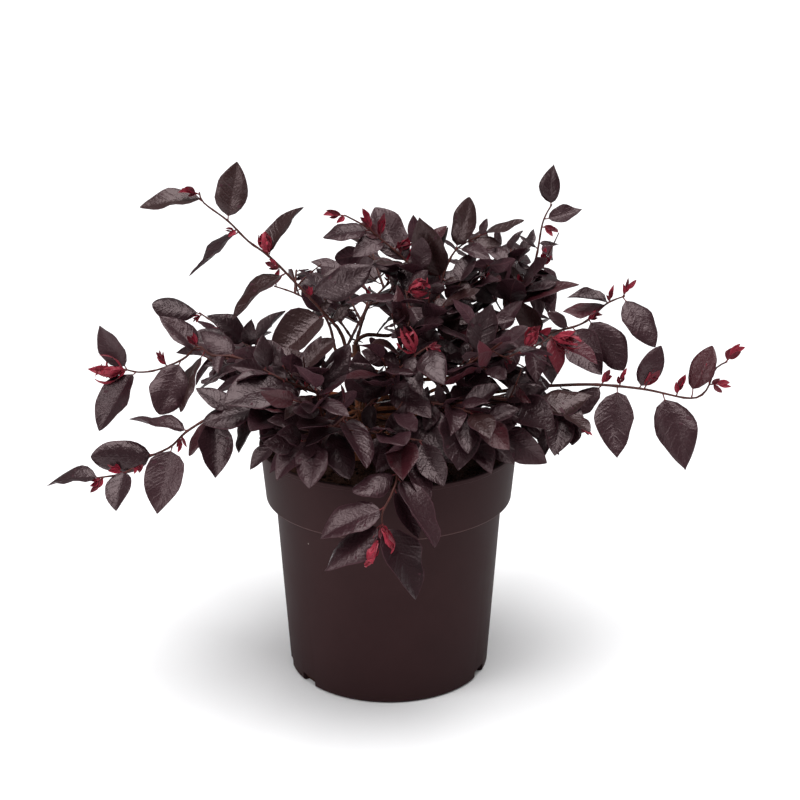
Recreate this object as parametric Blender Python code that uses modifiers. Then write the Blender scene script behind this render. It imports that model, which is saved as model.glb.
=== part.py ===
"""A young Chinese fringe flower with dark leaves and crimson new growth, in a nursery pot.

The plant is a short trunk, one bough for each shoot, and the shoots' foliage: a stem, twigs
that branch from it by a seeded rule, leaves and small tufts of young leaves and petals.
Metres, +Z up, with the origin under the middle of the pot.
"""

import math
import random

import bmesh
import bpy
from mathutils import Matrix, Quaternion, Vector
from mathutils.bvhtree import BVHTree

MM = 0.001
UP = Vector((0, 0, 1))

# Pot
RIM_RADIUS = 85 * MM
COLLAR_RADIUS = 81.1 * MM
BODY_TOP_RADIUS = 75 * MM
BASE_RADIUS = 67 * MM
POT_HEIGHT = 158 * MM
COLLAR_HEIGHT = 37 * MM
WALL = 1.6 * MM
FLOOR = 2.4 * MM
LIP = 2.6 * MM
NOTCH_WIDTH = 13 * MM
NOTCH_HEIGHT = 6.5 * MM
NOTCH_DEPTH = 9 * MM
NOTCH_ANGLES = (-26, -142, 6, 48, 100, 150, 190)
POT_SIDES = 36

# Soil
SOIL_TOP = 144.5 * MM
GAP = 0.3 * MM

# Trunk, from its flat cut on the soil to its tip
TRUNK_FOOT = Vector((-17 * MM, 3 * MM, SOIL_TOP + GAP))
TRUNK_LEAN = Vector((-4 * MM, -2 * MM, 0))
TRUNK_LENGTH = 78 * MM
FLARE_RADIUS = 9 * MM
TRUNK_RADIUS = 4.6 * MM
TIP_RADIUS = 2.6 * MM
ROOT_LOBES = 5

# Limbs
BOUGH_RADIUS = 1.4 * MM
STEM_RADIUS = 1.1 * MM
STEM_TIP_RADIUS = 0.65 * MM
STEM_POINTS = 6
TWIG_RADIUS = 0.95 * MM
TWIG_TIP_RADIUS = 0.6 * MM

# Foliage
LEAF_LENGTH = 38 * MM
LEAF_RATIO = 0.56
OUTLINE_RATIO = 0.58
LEAN_SWINGS = (0, 12, -12, 24, -24, 36, -36, 48)
LEAF_THICKNESS = 0.9 * MM
LEAF_GAP = 17.5 * MM
TUFT_LENGTH = 12 * MM
FLOWER_SIZE = 1.45
BLADES = {False: ((0.0, 1.0),), True: ((-0.3, 1.0), (0.35, 0.85))}
CLEARANCE = 0.5 * MM
ROOT_DEPTH = 0.25 * MM
TIP_INSET = 1.6 * MM
SEED = 41

# The viewpoint in front of the plant that its shoots are laid out from
EYE = Vector((7.5 * MM, -1000 * MM, 530 * MM))
EYE_PITCH = math.radians(19)
ACROSS = Vector((1, 0, 0))
ALOFT = Vector((0, math.sin(EYE_PITCH), math.cos(EYE_PITCH)))
TO_EYE = Vector((0, -math.cos(EYE_PITCH), math.sin(EYE_PITCH)))
CENTRE = Vector((-20 * MM, 0, 170 * MM))

# Each shoot: the height on the trunk where its bough leaves, then its stem as it shows from
# that viewpoint, in mm right of the trunk, above its foot and nearer to the eye. A leaf that
# shapes the outline is given by its place along the stem, its tip in mm right and above,
# how far it leans to the eye and how far its face is turned up from the eye. A tuft is its
# place, its angle and its size.
SHOOTS = {
    "left_high": dict(
        bough=70,
        stem=[
            (-15, 64, 5), (-29, 79, 8), (-56, 107, 12), (-72, 119, 15), (-85, 132, 18), (-101, 144, 20),
            (-104, 151, 20),
        ],
        leaves=[
            (0.79, -80, 171, 10, 0), (0.95, -143, 141, 5, 56), (0.71, -111, 96, 10, 62),
            (0.51, -36, 141, -10, 48), (0.38, -82, 68, 12, 58), (0.08, -55, 40, 20, 42),
            (0.21, 9, 102, 5, 30), (0.03, -6, 78, 15, 15), (0.12, -18, 78, 25, 10),
        ],
        tufts=[(1.0, 172, 1.3), (0.72, 195, 0.9), (0.51, 100, 1.5), (0.42, 170, 0.9), (0.2, 100, 0.9)],
        twigs=0, filled=0,
    ),
    "left_shoulder": dict(
        bough=58,
        stem=[(-38, 41, -10), (-63, 45, -16), (-77, 54, -20), (-89, 62, -25), (-104, 72, -30)],
        leaves=[
            (1.0, -135, 78, 15, 32), (0.5, -98, 71, 20, 22), (0.42, -47, 73, 0, 70),
            (0.45, -70, 68, 25, 0), (0.62, -112, 55, 20, 40),
        ],
        tufts=[(0.97, 205, 0.8), (0.8, 250, 0.7), (0.38, 75, 0.8)],
        twigs=0, filled=0.3,
    ),
    "left_middle": dict(
        bough=44,
        stem=[
            (-63, 35, 25), (-81, 43, 27), (-96, 44, 29), (-105, 50, 31), (-114, 42, 33),
            (-130, 35, 36), (-143, 33, 38), (-153, 35, 40),
        ],
        leaves=[
            (1.0, -170, 63, 10, 0), (0.92, -170, -5, 15, 32), (0.6, -130, 5, 20, 0),
            (0.43, -117, 7, 15, 48), (0.47, -130, 70, -5, 40), (0.2, -104, 60, -15, 35),
            (0.12, -105, 22, 10, 55), (0.3, -92, 32, 30, 10),
        ],
        tufts=[(1.0, 184, 2.1), (0.98, 205, 1.2), (0.72, 115, 0.9), (0.47, 130, 0.9)],
        twigs=0, filled=0,
    ),
    "left_low": dict(
        bough=24,
        stem=[
            (-48, 12, 55), (-89, 6, 62), (-111, -5, 66), (-123, -16, 68), (-138, -23, 70), (-153, -33, 72),
            (-170, -36, 75),
        ],
        leaves=[
            (0.5, -150, 3, 5, 56), (0.61, -131, -60, 15, 24), (0.7, -175, -23, 10, 5), (0.87, -159, -58, 35, 0),
            (1.0, -204, -42, 0, 72), (0.36, -93, -36, 15, 0), (0.37, -111, -22, 10, 40), (0.1, -102, 0, 5, 45),
            (0.24, -106, 23, -15, 35), (0.05, -71, -5, 35, 0), (0.13, -78, -20, 15, 55),
        ],
        tufts=[(0.97, 215, 1.1), (0.88, 150, 1.1), (0.78, 250, 0.8), (0.54, 255, 1.0), (0.25, 265, 1.0)],
        twigs=0, filled=0,
    ),
    "inner_left": dict(
        bough=37,
        stem=[(-12, 14, 45), (-36, 23, 60), (-49, 28, 65), (-62, 35, 66)],
        leaves=[
            (0.55, -87, 12, 15, 42), (1.0, -63, 58, 10, 25), (0.12, -14, -14, -10, 30), (0.4, -44, 47, 0, 48),
            (0.2, -24, 42, 5, 35), (0.75, -42, 8, 25, 15), (0.9, -80, 27, 15, 60), (0.3, -26, 8, 30, 5),
            (0.28, -6, 51, 0, 15), (0.6, -24, 57, -10, 30),
        ],
        tufts=[(0.5, 60, 0.8), (0.2, 70, 0.8)],
        twigs=2, filled=0.7,
    ),
    "front_left": dict(
        bough=27,
        stem=[(-7, 5, 65), (-22, -7, 80), (-35, -12, 85), (-54, -12, 85)],
        leaves=[
            (0.5, -53, -38, 20, 25), (1.0, -71, -31, 10, 48), (0.55, -33, -43, 25, 0), (0.3, -5, -37, 20, 12),
            (0.05, 9, -24, 20, 10), (0.75, -62, -13, 30, 10),
        ],
        tufts=[(0.45, 80, 0.7)],
        twigs=0, filled=0.7,
    ),
    "front_centre": dict(
        bough=45,
        stem=[(5, 9, 35), (18, 24, 50), (31, 39, 60), (46, 50, 65)],
        leaves=[
            (0.1, 9, -8, 25, 0), (0.85, 30, 28, 20, 22), (1.0, 57, 25, 42, 0), (0.45, 48, 3, 20, 15),
            (0.3, -8, 37, 10, 15), (0.4, 4, 16, 30, 10), (0.65, 12, 44, 15, 30), (0.7, 42, 18, 35, 10),
            (0.02, 0, 47, 5, 10),
        ],
        tufts=[(0.85, 120, 1.6), (1.0, 15, 0.9)],
        twigs=1, filled=0.6,
    ),
    "front_right": dict(
        bough=34,
        stem=[(31, 7, 50), (47, 13, 65), (70, 8, 75), (86, 1, 80)],
        leaves=[
            (0.2, 62, -27, 25, 0), (0.6, 65, -31, 20, 18), (0.85, 99, -18, 15, 15), (0.5, 52, 26, 10, 20),
            (0.7, 92, 25, 10, 30), (0.95, 106, 8, 10, 45), (0.4, 44, -6, 35, 10), (0.3, 46, 24, 0, 30),
        ],
        tufts=[],
        twigs=1, filled=0.8,
    ),
    "front_hanging": dict(
        bough=11,
        stem=[(25, -9, 60), (26, -33, 88), (22, -47, 97), (16, -59, 99), (16, -68, 99)],
        leaves=[
            (0.5, -4, -45, 20, 22), (0.84, -25, -75, 10, 26), (1.0, -22, -97, 10, 38), (0.66, 39, -76, 10, 45),
            (0.3, 46, -56, 20, 45), (0.52, 50, -82, 10, 58), (0.98, 39, -115, 5, 22), (0.1, 12, -33, 25, 5),
        ],
        tufts=[(1.0, 288, 1.5), (1.0, 249, 1.5)],
        twigs=0, filled=0,
    ),
    "top_left": dict(
        bough=76,
        stem=[(31, 63, 2), (40, 84, -2), (33, 104, -2), (14, 121, 0), (4, 129, 4), (-9, 136, 6)],
        leaves=[
            (0.8, -23, 121, 5, 52), (0.7, 1, 131, 5, 5), (0.68, -4, 109, 25, 10), (0.45, 9, 104, 0, 45),
            (0.3, 12, 104, -10, 40), (0.6, 22, 118, -20, 40), (0.2, 22, 88, 10, 20), (0.45, 10, 140, -15, 20),
        ],
        tufts=[(1.0, 185, 1.4), (0.78, 122, 1.4), (0.72, 80, 1.3), (0.6, 30, 1.1), (0.55, 60, 1.3)],
        twigs=1, filled=0.4,
    ),
    "top_centre": dict(
        bough=62,
        stem=[(31, 35, 16), (48, 70, 14), (56, 97, 8), (65, 114, 5), (83, 124, 5)],
        leaves=[
            (0.58, 39, 134, 15, 0), (0.8, 72, 148, 5, 8), (0.82, 87, 108, 15, 28), (0.6, 77, 80, 20, 8),
            (0.5, 60, 53, 20, 0), (0.97, 85, 134, 10, 10), (1.0, 109, 133, 0, 50), (0.9, 94, 117, 0, 25),
            (0.4, 74, 66, 10, 25), (0.3, 34, 56, 25, 10),
        ],
        tufts=[(0.5, 150, 1.5)],
        twigs=2, filled=0.55,
    ),
    "inner_right": dict(
        bough=46,
        stem=[(54, 24, 40), (77, 41, 50), (100, 47, 50), (116, 50, 48), (127, 57, 46)],
        leaves=[
            (1.0, 132, 32, 10, 5), (0.97, 157, 38, 0, 58), (0.66, 71, 27, 10, 52), (0.8, 117, 26, 20, 8),
            (0.38, 87, 77, 10, 5), (0.46, 104, 60, 5, 25), (0.25, 90, 22, 30, 10), (0.72, 96, 32, 30, 15),
            (0.9, 127, 25, -10, 10),
        ],
        tufts=[(0.75, 50, 1.7), (0.6, 280, 1.1), (1.0, 350, 1.7), (0.84, 290, 1.1)],
        twigs=2, filled=0.6,
    ),
    "right_high": dict(
        bough=66,
        stem=[(91, 60, -12), (106, 86, -8), (116, 106, -8), (121, 131, -8), (127, 143, -10)],
        leaves=[
            (1.0, 127, 169, 5, 0), (0.88, 147, 140, 0, 25), (0.7, 132, 117, 5, 42), (0.66, 106, 123, -10, 55),
            (0.45, 122, 105, 10, 45), (0.3, 130, 92, 0, 56), (0.22, 145, 90, 5, 66), (0.4, 92, 103, 0, 25),
            (0.3, 83, 90, 15, 10), (0.5, 105, 106, -20, 30), (0.12, 104, 80, 20, 15),
        ],
        tufts=[(0.82, 335, 1.0), (0.35, 100, 1.0)],
        twigs=1, filled=0.3,
    ),
    "right_shoulder": dict(
        bough=54,
        stem=[(96, 41, 10), (122, 57, 10), (147, 65, 8), (163, 78, 5), (175, 83, 5)],
        leaves=[
            (0.86, 134, 73, 0, 48), (0.88, 137, 82, 10, 58), (1.0, 195, 50, 15, 18), (0.68, 174, 34, 10, 0),
            (0.52, 124, 72, 10, 32), (0.3, 104, 80, 10, 5), (0.55, 160, 32, 25, 0), (0.48, 148, 36, 0, 20),
        ],
        tufts=[
            (0.88, 80, 0.9), (1.0, 60, 1.3), (0.66, 20, 1.1), (0.5, 120, 1.0), (0.25, 30, 1.3), (0.2, 100, 1.2),
        ],
        twigs=0, filled=0.3,
    ),
    "right_long": dict(
        bough=34,
        stem=[
            (122, 24, 28), (154, 25, 33), (187, 22, 38), (217, 16, 42), (228, 21, 43), (234, 35, 43),
            (242, 40, 43),
        ],
        leaves=[
            (0.48, 199, 50, 10, 5), (0.37, 169, -23, 15, 0), (0.6, 214, -31, 10, 0), (0.74, 233, 50, 5, 45),
            (0.08, 142, 1, 15, 62), (0.29, 142, 4, 0, 38), (0.05, 98, 27, 0, 42),
        ],
        tufts=[
            (0.29, 50, 1.0), (0.38, 70, 0.9), (0.5, 55, 1.2), (0.66, 75, 1.3), (0.93, 110, 0.9), (1.0, 45, 1.3),
            (0.85, 95, 1.3), (0.85, 350, 1.1),
        ],
        twigs=0, filled=0,
    ),
    "right_low": dict(
        bough=21,
        stem=[(73, 18, 45), (106, 14, 60), (132, 9, 65), (146, 0, 65)],
        leaves=[
            (0.55, 153, 18, 5, 45), (0.8, 129, -22, 25, 0), (0.95, 140, -15, 15, 35), (0.5, 118, -10, 25, 10),
            (0.3, 118, 22, 20, 30), (0.7, 148, 3, 15, 40), (0.4, 128, -4, 30, 5),
        ],
        tufts=[(1.0, 310, 1.1), (0.5, 270, 0.8)],
        twigs=0, filled=0.8,
    ),
    "rim_left": dict(
        bough=16,
        stem=[(-10, -2, 52), (-28, -5, 68), (-46, -2, 70), (-62, 3, 66)],
        leaves=[(1.0, -58, -18, 30, 30)],
        tufts=[],
        twigs=1, filled=0.9,
    ),
    "rim_right": dict(
        bough=17,
        stem=[(34, -4, 42), (56, -7, 58), (78, -8, 66), (95, -3, 64)],
        leaves=[(1.0, 123, -27, 15, 0), (0.7, 88, -33, 30, 10), (0.4, 42, -28, 30, 10), (0.8, 106, 2, 20, 20)],
        tufts=[],
        twigs=1, filled=0.9,
    ),
    "core": dict(
        bough=50,
        stem=[(15, 26, 24), (27, 50, 30), (34, 68, 30), (31, 87, 26)],
        leaves=[
            (0.9, -8, 79, 5, 60), (0.75, 14, 75, 20, 10), (0.85, 47, 52, 20, 28), (0.25, 2, 46, 15, 28),
            (0.6, 22, 55, 30, 10), (0.95, 46, 100, 5, 40),
        ],
        tufts=[(0.98, 20, 1.5)],
        twigs=2, filled=0.8,
    ),
    "low_centre": dict(
        bough=22,
        stem=[(6, -4, 52), (16, -8, 66), (30, -10, 72), (42, -12, 74)],
        leaves=[(0.3, 14, -34, 25, 10), (1.0, 56, -42, 20, 10), (0.7, 30, -38, 35, 0), (0.5, 32, 12, 20, 15)],
        tufts=[],
        twigs=0, filled=0.9,
    ),
    "low_left": dict(
        bough=31,
        stem=[(-18, 4, 44), (-34, 5, 52), (-50, 8, 54), (-62, 14, 52)],
        leaves=[(1.0, -79, 4, 15, 30)],
        tufts=[],
        twigs=0, filled=0.9,
    ),
    "low_right": dict(
        bough=30,
        stem=[(62, 12, 26), (84, 13, 34), (104, 12, 38), (122, 8, 40)],
        leaves=[(1.0, 148, 2, 0, 20)],
        tufts=[],
        twigs=1, filled=0.9,
    ),
}

# Tufts of each shoot of the far side
FAR_TUFTS = [(1.0, 85, 1.1), (0.62, 100, 0.9)]

# Shoots of the far side: bough's height on the trunk, compass angle from +X, reach and rise
# in mm, and twigs
FAR_SHOOTS = {
    "back_right": (50, 33, 150, 58, 4),
    "back_right_low": (29, 56, 145, 2, 4),
    "back_high": (67, 72, 88, 60, 4),
    "back_centre": (39, 92, 170, 26, 4),
    "back_left_high": (53, 118, 122, 38, 4),
    "back_left_low": (19, 140, 140, -6, 4),
}

# Patches of sky that show through and round the crown from the viewpoint, which twigs and
# leaves of the rule leave open: mm right of the trunk, above its foot, and radius
OPEN_SKY = (
    (-66, 104, 10), (16, 91, 7), (6, 92, 7), (-12, 82, 5), (-43, 71, 8), (24, 113, 7),
    (-94, 86, 15), (-76, 92, 9), (-49, 84, 10), (-56, 103, 5), (-41, 116, 13), (-22, 114, 10),
    (-62, 88, 9), (-36, 84, 6), (-40, 66, 5), (4, 68, 12), (14, 68, 7), (-27, 62, 6), (-6, 60, 6),
    (-18, 62, 6), (8, 40, 5), (14, 96, 4), (-24, 150, 26), (14, 158, 22), (34, 146, 9), (52, 160, 14),
    (92, 152, 17), (108, 160, 14), (146, 108, 16), (150, 132, 14), (160, 98, 10), (134, 66, 5),
    (-150, 70, 18), (-137, 12, 8), (-86, 26, 6), (-60, 34, 3), (-132, -6, 10), (-104, -42, 12),
    (-74, -44, 12), (-150, 20, 10), (138, -44, 18), (152, -20, 8), (166, 12, 5), (190, 30, 10),
    (108, -42, 10),
)


def seen(across, aloft, nearer):
    """The place of what shows so many mm right of, above and in front of the trunk's foot."""
    away = CENTRE - EYE
    depth = -away.dot(TO_EYE)
    side = away.dot(ACROSS) + across * MM
    height = away.dot(ALOFT) + aloft * MM
    sight = ACROSS * side + ALOFT * height - TO_EYE * depth
    return EYE + sight * ((depth - nearer * MM) / depth)


def in_open_sky(point):
    """True where a point shows in a patch of sky from the viewpoint."""
    sight, middle = point - EYE, CENTRE - EYE
    share = middle.dot(TO_EYE) / sight.dot(TO_EYE)
    across = (sight.dot(ACROSS) * share - middle.dot(ACROSS)) / MM
    aloft = (sight.dot(ALOFT) * share - middle.dot(ALOFT)) / MM
    return any(math.hypot(across - x, aloft - y) < radius for x, y, radius in OPEN_SKY)


def seen_direction(angle, lean):
    """The direction that shows at this angle from the right, leaning to the eye."""
    turn, tip = math.radians(angle), math.radians(lean)
    flat = ACROSS * math.cos(turn) + ALOFT * math.sin(turn)
    return flat * math.cos(tip) + TO_EYE * math.sin(tip)


def far_stem(angle, reach, rise):
    """A stem that arches away from the trunk at this compass angle."""
    out = Vector((math.cos(math.radians(angle)), math.sin(math.radians(angle)), 0))
    side = out.cross(UP)
    points = []
    for step in range(5):
        part = 0.3 + 0.7 * step / 4
        lift = rise * (1.5 * part - 0.5 * part ** 3) + 26
        sway = 9 * math.sin(part * 5 + angle)
        points.append(CENTRE + (out * reach * part + side * sway + UP * lift) * MM)
    return points


def smooth(points, count):
    """Points evenly spaced along a rounded curve through the given ones."""
    fine = []
    for i in range(len(points) - 1):
        before = points[max(i - 1, 0)]
        here, there = points[i], points[i + 1]
        after = points[min(i + 2, len(points) - 1)]
        for step in range(8):
            t = step / 8
            bend = (there - before) * 0.5 * t + (2 * before - 5 * here + 4 * there - after) * 0.5 * t ** 2
            fine.append(here + bend + (3 * here - before - 3 * there + after) * 0.5 * t ** 3)
    fine.append(points[-1])
    return [along(fine, i / (count - 1)) for i in range(count)]


def along(points, part):
    """The point at this part of a polyline's length."""
    lengths = [(b - a).length for a, b in zip(points, points[1:])]
    left = part * sum(lengths)
    for start, end, length in zip(points, points[1:], lengths):
        if left <= length:
            return start.lerp(end, left / length)
        left -= length
    return points[-1].copy()


def heading(points, part):
    return (along(points, min(part + 0.08, 1)) - along(points, max(part - 0.08, 0))).normalized()


def tube(points, radii, sides):
    """Corners and faces of a closed tube with these radii."""
    corners, faces = [], []
    side = heading(points, 0).orthogonal().normalized()
    for i, (point, radius) in enumerate(zip(points, radii)):
        ahead = points[min(i + 1, len(points) - 1)] - points[max(i - 1, 0)]
        ahead.normalize()
        side = (side - ahead * side.dot(ahead)).normalized()
        for k in range(sides):
            turn = Quaternion(ahead, math.tau * k / sides)
            corners.append(point + turn @ side * radius)
    for i in range(len(points) - 1):
        for k in range(sides):
            a, b = i * sides + k, i * sides + (k + 1) % sides
            faces.append((a, b, b + sides, a + sides))
    faces.append(tuple(range(sides - 1, -1, -1)))
    last = (len(points) - 1) * sides
    faces.append(tuple(range(last, last + sides)))
    return corners, faces


def taper(first, last, count):
    return [first + (last - first) * i / (count - 1) for i in range(count)]


def trunk_axis(height):
    part = height / TRUNK_LENGTH
    return TRUNK_FOOT + TRUNK_LEAN * part ** 1.5 + UP * height


def trunk_radius(height):
    part = height / TRUNK_LENGTH
    flare = (FLARE_RADIUS - TRUNK_RADIUS) * math.exp(-height / (5 * MM))
    return TRUNK_RADIUS + (TIP_RADIUS - TRUNK_RADIUS) * part + flare


def trunk_lobes(height):
    return 0.2 * math.exp(-height / 6)


def bough_line(height, stem):
    """The axis of a bough, from the trunk's side to just short of its stem's foot."""
    start_axis = trunk_axis(height * MM)
    out = stem[0] - start_axis
    if height * MM >= TRUNK_LENGTH - 3 * MM:
        start = trunk_axis(TRUNK_LENGTH) + UP * GAP
        leave = UP
    else:
        leave = Vector((out.x, out.y, 0)).normalized()
        start = start_axis + leave * (trunk_radius(height * MM) * (1 + trunk_lobes(height)) + GAP)
    arrive = (stem[1] - stem[0]).normalized()
    end = stem[0] - arrive * GAP
    reach = (end - start).length
    straight = min(2 * MM, reach / 6)
    near, far = start + leave * straight, end - arrive * straight
    first = near + leave * reach * 0.28
    last = far - arrive * reach * 0.28
    points = [start]
    for i in range(4):
        t = i / 3
        s = 1 - t
        points.append(near * s ** 3 + first * 3 * s * s * t + last * 3 * s * t * t + far * t ** 3)
    return points + [end]


def rooted(points, part):
    """A leaf's root: inside the twig, and short of its tip."""
    length = sum((b - a).length for a, b in zip(points, points[1:]))
    return along(points, min(part, 1 - TIP_INSET / length))


def leaf(root, direction, face, length, width, droop, fold):
    """A leaf as (root, direction, face, length, width, droop, fold), with its face square to it."""
    direction = direction.normalized()
    face = (face - direction * face.dot(direction)).normalized()
    root = root - direction * ROOT_DEPTH
    return root, direction, face, length, width, droop, fold


def leaf_shape(blade, grow=0.0, full=False):
    """Corners and faces of a closed leaf: its outline and a ridge point on each side."""
    root, direction, face, length, width, droop, fold = blade
    side = direction.cross(face)
    half = width / 2 + grow
    rows = ((0.27, 0.92), (0.64, 0.88)) if full else ((0.42, 1.0),)
    left, right = [], []
    for part, share in rows:
        middle = root + direction * length * part - face * droop * length * part ** 2
        lift = face * fold * half * share
        left.append(middle + side * half * share + lift)
        right.append(middle - side * half * share + lift)
    tip = root + direction * (length + grow) - face * droop * length
    middle = root + direction * length * 0.45 - face * droop * length * 0.2
    thick = LEAF_THICKNESS / 2 * length / LEAF_LENGTH + grow
    outline = [root - direction * grow] + left + [tip] + right[::-1]
    count = len(outline)
    corners = outline + [middle + face * thick, middle - face * thick]
    faces = [(k, (k + 1) % count, count) for k in range(count)]
    faces += [((k + 1) % count, k, count + 1) for k in range(count)]
    return corners, faces


def blocker(shape):
    corners, faces = shape
    return BVHTree.FromPolygons([tuple(c) for c in corners], faces), corners


def box_of(corners):
    low = Vector([min(c[i] for c in corners) for i in range(3)])
    high = Vector([max(c[i] for c in corners) for i in range(3)])
    return low, high


class Space:
    """What already stands in the plant's space, by owner."""

    def __init__(self):
        self.taken = []

    def add(self, owner, shape, kind):
        tree, corners = blocker(shape)
        self.taken.append((owner, kind, box_of(corners), tree))

    def free(self, owner, shape, own_leaves):
        """True where a shape meets nothing of another owner, nor its own leaves if told so."""
        tree, corners = blocker(shape)
        low, high = box_of(corners)
        for other, kind, (a, b), taken in self.taken:
            if other == owner and not (own_leaves and kind == "leaf"):
                continue
            if any(low[i] > b[i] or high[i] < a[i] for i in range(3)):
                continue
            if tree.overlap(taken):
                return False
        return True


def outer_part(blade):
    """The leaf without its root, to test it against leaves of the same shoot."""
    root, direction, face, length, width, droop, fold = blade
    start = root + direction * length * 0.3 - face * droop * length * 0.09
    onward = (direction - face * droop * 0.9).normalized()
    up = (face - onward * face.dot(onward)).normalized()
    return start, onward, up, length * 0.66, width * 0.9, droop * 0.3, fold


def fits(space, owner, blade):
    tip = blade[0] + blade[1] * blade[3]
    if tip.z < 60 * MM:
        return False
    whole = leaf_shape(blade, CLEARANCE, True)
    return space.free(owner, whole, False) and space.free(owner, leaf_shape(outer_part(blade), 0, True), True)


def shows_in_sky(blade):
    """True where the middle, a side or the tip of a leaf shows in open sky."""
    root, direction, face, length, width, droop, fold = blade
    middle = root + direction * length * 0.5 - face * droop * length * 0.25
    side = direction.cross(face) * width / 2
    tip = root + direction * length - face * droop * length
    return any(in_open_sky(point) for point in (middle, middle + side, middle - side, tip))


def place(space, owner, blade, rng, tries):
    """The leaf, or a near attitude of it that fits, or None."""
    root, direction, face, length, width, droop, fold = blade
    for attempt in range(tries):
        turn = Quaternion(direction, rng.uniform(-0.5, 0.5) * attempt)
        swing = Quaternion(face, rng.uniform(-0.16, 0.16) * attempt)
        nod = Quaternion(direction.cross(face), rng.uniform(-0.16, 0.16) * attempt)
        scale = 1 - 0.05 * attempt
        new = leaf(
            root + direction * ROOT_DEPTH, swing @ (nod @ direction), turn @ face,
            length * scale, width * scale, droop, fold,
        )
        if not shows_in_sky(new) and fits(space, owner, new):
            space.add(owner, leaf_shape(new, 0, True), "leaf")
            return new
    return None


def outline_leaf(points, row, rng, swing):
    """A leaf whose tip shows at a given place from the viewpoint, with its lean changed by a swing."""
    part, across, aloft, lean, turned = row
    root = rooted(points, part)
    near = (root - CENTRE).dot(TO_EYE) / MM
    rise = (seen(across, aloft, near) - root).length * math.tan(math.radians(lean + swing))
    reach = seen(across, aloft, near + rise / MM) - root
    length = reach.length
    direction = reach / length
    face = (TO_EYE - direction * TO_EYE.dot(direction)).normalized()
    upward = direction.cross(face)
    upward = upward if upward.z > 0 else -upward
    tilt = math.radians(turned)
    face = face * math.cos(tilt) + upward * math.sin(tilt)
    droop = rng.uniform(0.06, 0.2)
    direction = (direction + face * droop).normalized()
    ratio = OUTLINE_RATIO + rng.uniform(-0.03, 0.03)
    return leaf(root, direction, face, length, length * ratio, droop, rng.uniform(0.1, 0.3))


def place_outline(space, owner, points, row, rng):
    """The outline leaf at the first lean that fits, or None."""
    for swing in LEAN_SWINGS:
        blade = outline_leaf(points, row, rng, swing)
        if fits(space, owner, blade):
            space.add(owner, leaf_shape(blade, 0, True), "leaf")
            return blade
    return None


def rule_leaf(points, part, side, size, rng):
    """A leaf by the plant's own rule: alternate, spreading, face up and a little drooping."""
    ahead = heading(points, part)
    across = ahead.cross(UP)
    if across.length < 0.2:
        across = ACROSS.copy()
    across = Quaternion(ahead, rng.uniform(-0.6, 0.6)) @ across.normalized()
    spread = math.radians(rng.uniform(38, 66))
    if part > 0.97:
        spread *= 0.35
    direction = ahead * math.cos(spread) + across * side * math.sin(spread) + UP * rng.uniform(-0.3, 0.25)
    face = UP + ahead * rng.uniform(-0.4, 0.2) + across * rng.uniform(-0.45, 0.45)
    length = LEAF_LENGTH * size * rng.uniform(0.78, 1.14)
    ratio = LEAF_RATIO * rng.uniform(0.9, 1.1)
    droop, fold = rng.uniform(0.08, 0.26), rng.uniform(0.1, 0.3)
    return leaf(rooted(points, part), direction, face, length, length * ratio, droop, fold)


def tuft(points, row):
    """A few small young leaves round one direction."""
    part, angle, size = row
    root = rooted(points, part)
    ahead = seen_direction(angle, 15)
    blades = []
    for swing, share in BLADES[size > FLOWER_SIZE]:
        direction = Quaternion(TO_EYE, swing) @ ahead
        length = TUFT_LENGTH * size * share
        blades.append(leaf(root, direction, TO_EYE + UP * 0.5, length, length * 0.42, 0.1, 0.3))
    return blades


def grow_shoot(name, shoot, space):
    """The stem, twigs and blades of one shoot, each clear of all that stands already."""
    rng = random.Random(name + str(SEED))
    stem = shoot["points"]
    grown = dict(stem=stem, twigs=[], outline=[], leaves=[], tufts=[])
    for row in shoot["leaves"]:
        blade = place_outline(space, name, stem, row, rng)
        if blade:
            grown["outline"].append(blade)
    for row in shoot["tufts"]:
        for blade in tuft(stem, row):
            if space.free(name, leaf_shape(blade, CLEARANCE), False):
                space.add(name, leaf_shape(blade), "leaf")
                grown["tufts"].append(blade)
    for k in range(shoot["twigs"]):
        twig = grow_twig(name, stem, k, shoot["twigs"], shoot["filled"], rng, space)
        if twig:
            grown["twigs"].append(twig)
    for line in grown["twigs"]:
        grown["leaves"] += leaves_along(name, line, 1.0, LEAF_GAP * 0.85, 0.9, rng, space)
    grown["leaves"] += leaves_along(name, stem, shoot["filled"], LEAF_GAP * 0.9, 1.0, rng, space)
    return grown


def grow_twig(name, stem, k, count, reach_of_twigs, rng, space):
    """A twig on alternate sides of the stem that meets nothing of another shoot."""
    part = (k + 0.4) / (count + 0.4) * reach_of_twigs
    for attempt in range(6):
        ahead = heading(stem, part)
        across = ahead.cross(UP)
        if across.length < 0.2:
            across = ACROSS.copy()
        across = Quaternion(ahead, rng.uniform(-0.9, 0.9)) @ across.normalized()
        side = 1 if (k + attempt) % 2 else -1
        spread = math.radians(rng.uniform(35, 60))
        start = along(stem, part)
        direction = ahead * math.cos(spread) + across * side * math.sin(spread) + UP * rng.uniform(0, 0.35)
        reach = rng.uniform(28, 46) * MM * (1.1 - 0.4 * part)
        bend = across * side * rng.uniform(-0.2, 0.1) * reach
        points = [start, start + direction * reach * 0.5 + bend * 0.3, start + direction * reach + bend]
        shape = tube(points, [TWIG_RADIUS + CLEARANCE] * 3, 4)
        if not any(in_open_sky(point) for point in points[1:]) and space.free(name, shape, False):
            space.add(name, tube(points, taper(TWIG_RADIUS, TWIG_TIP_RADIUS, 3), 3), "limb")
            return points
    return None


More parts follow.
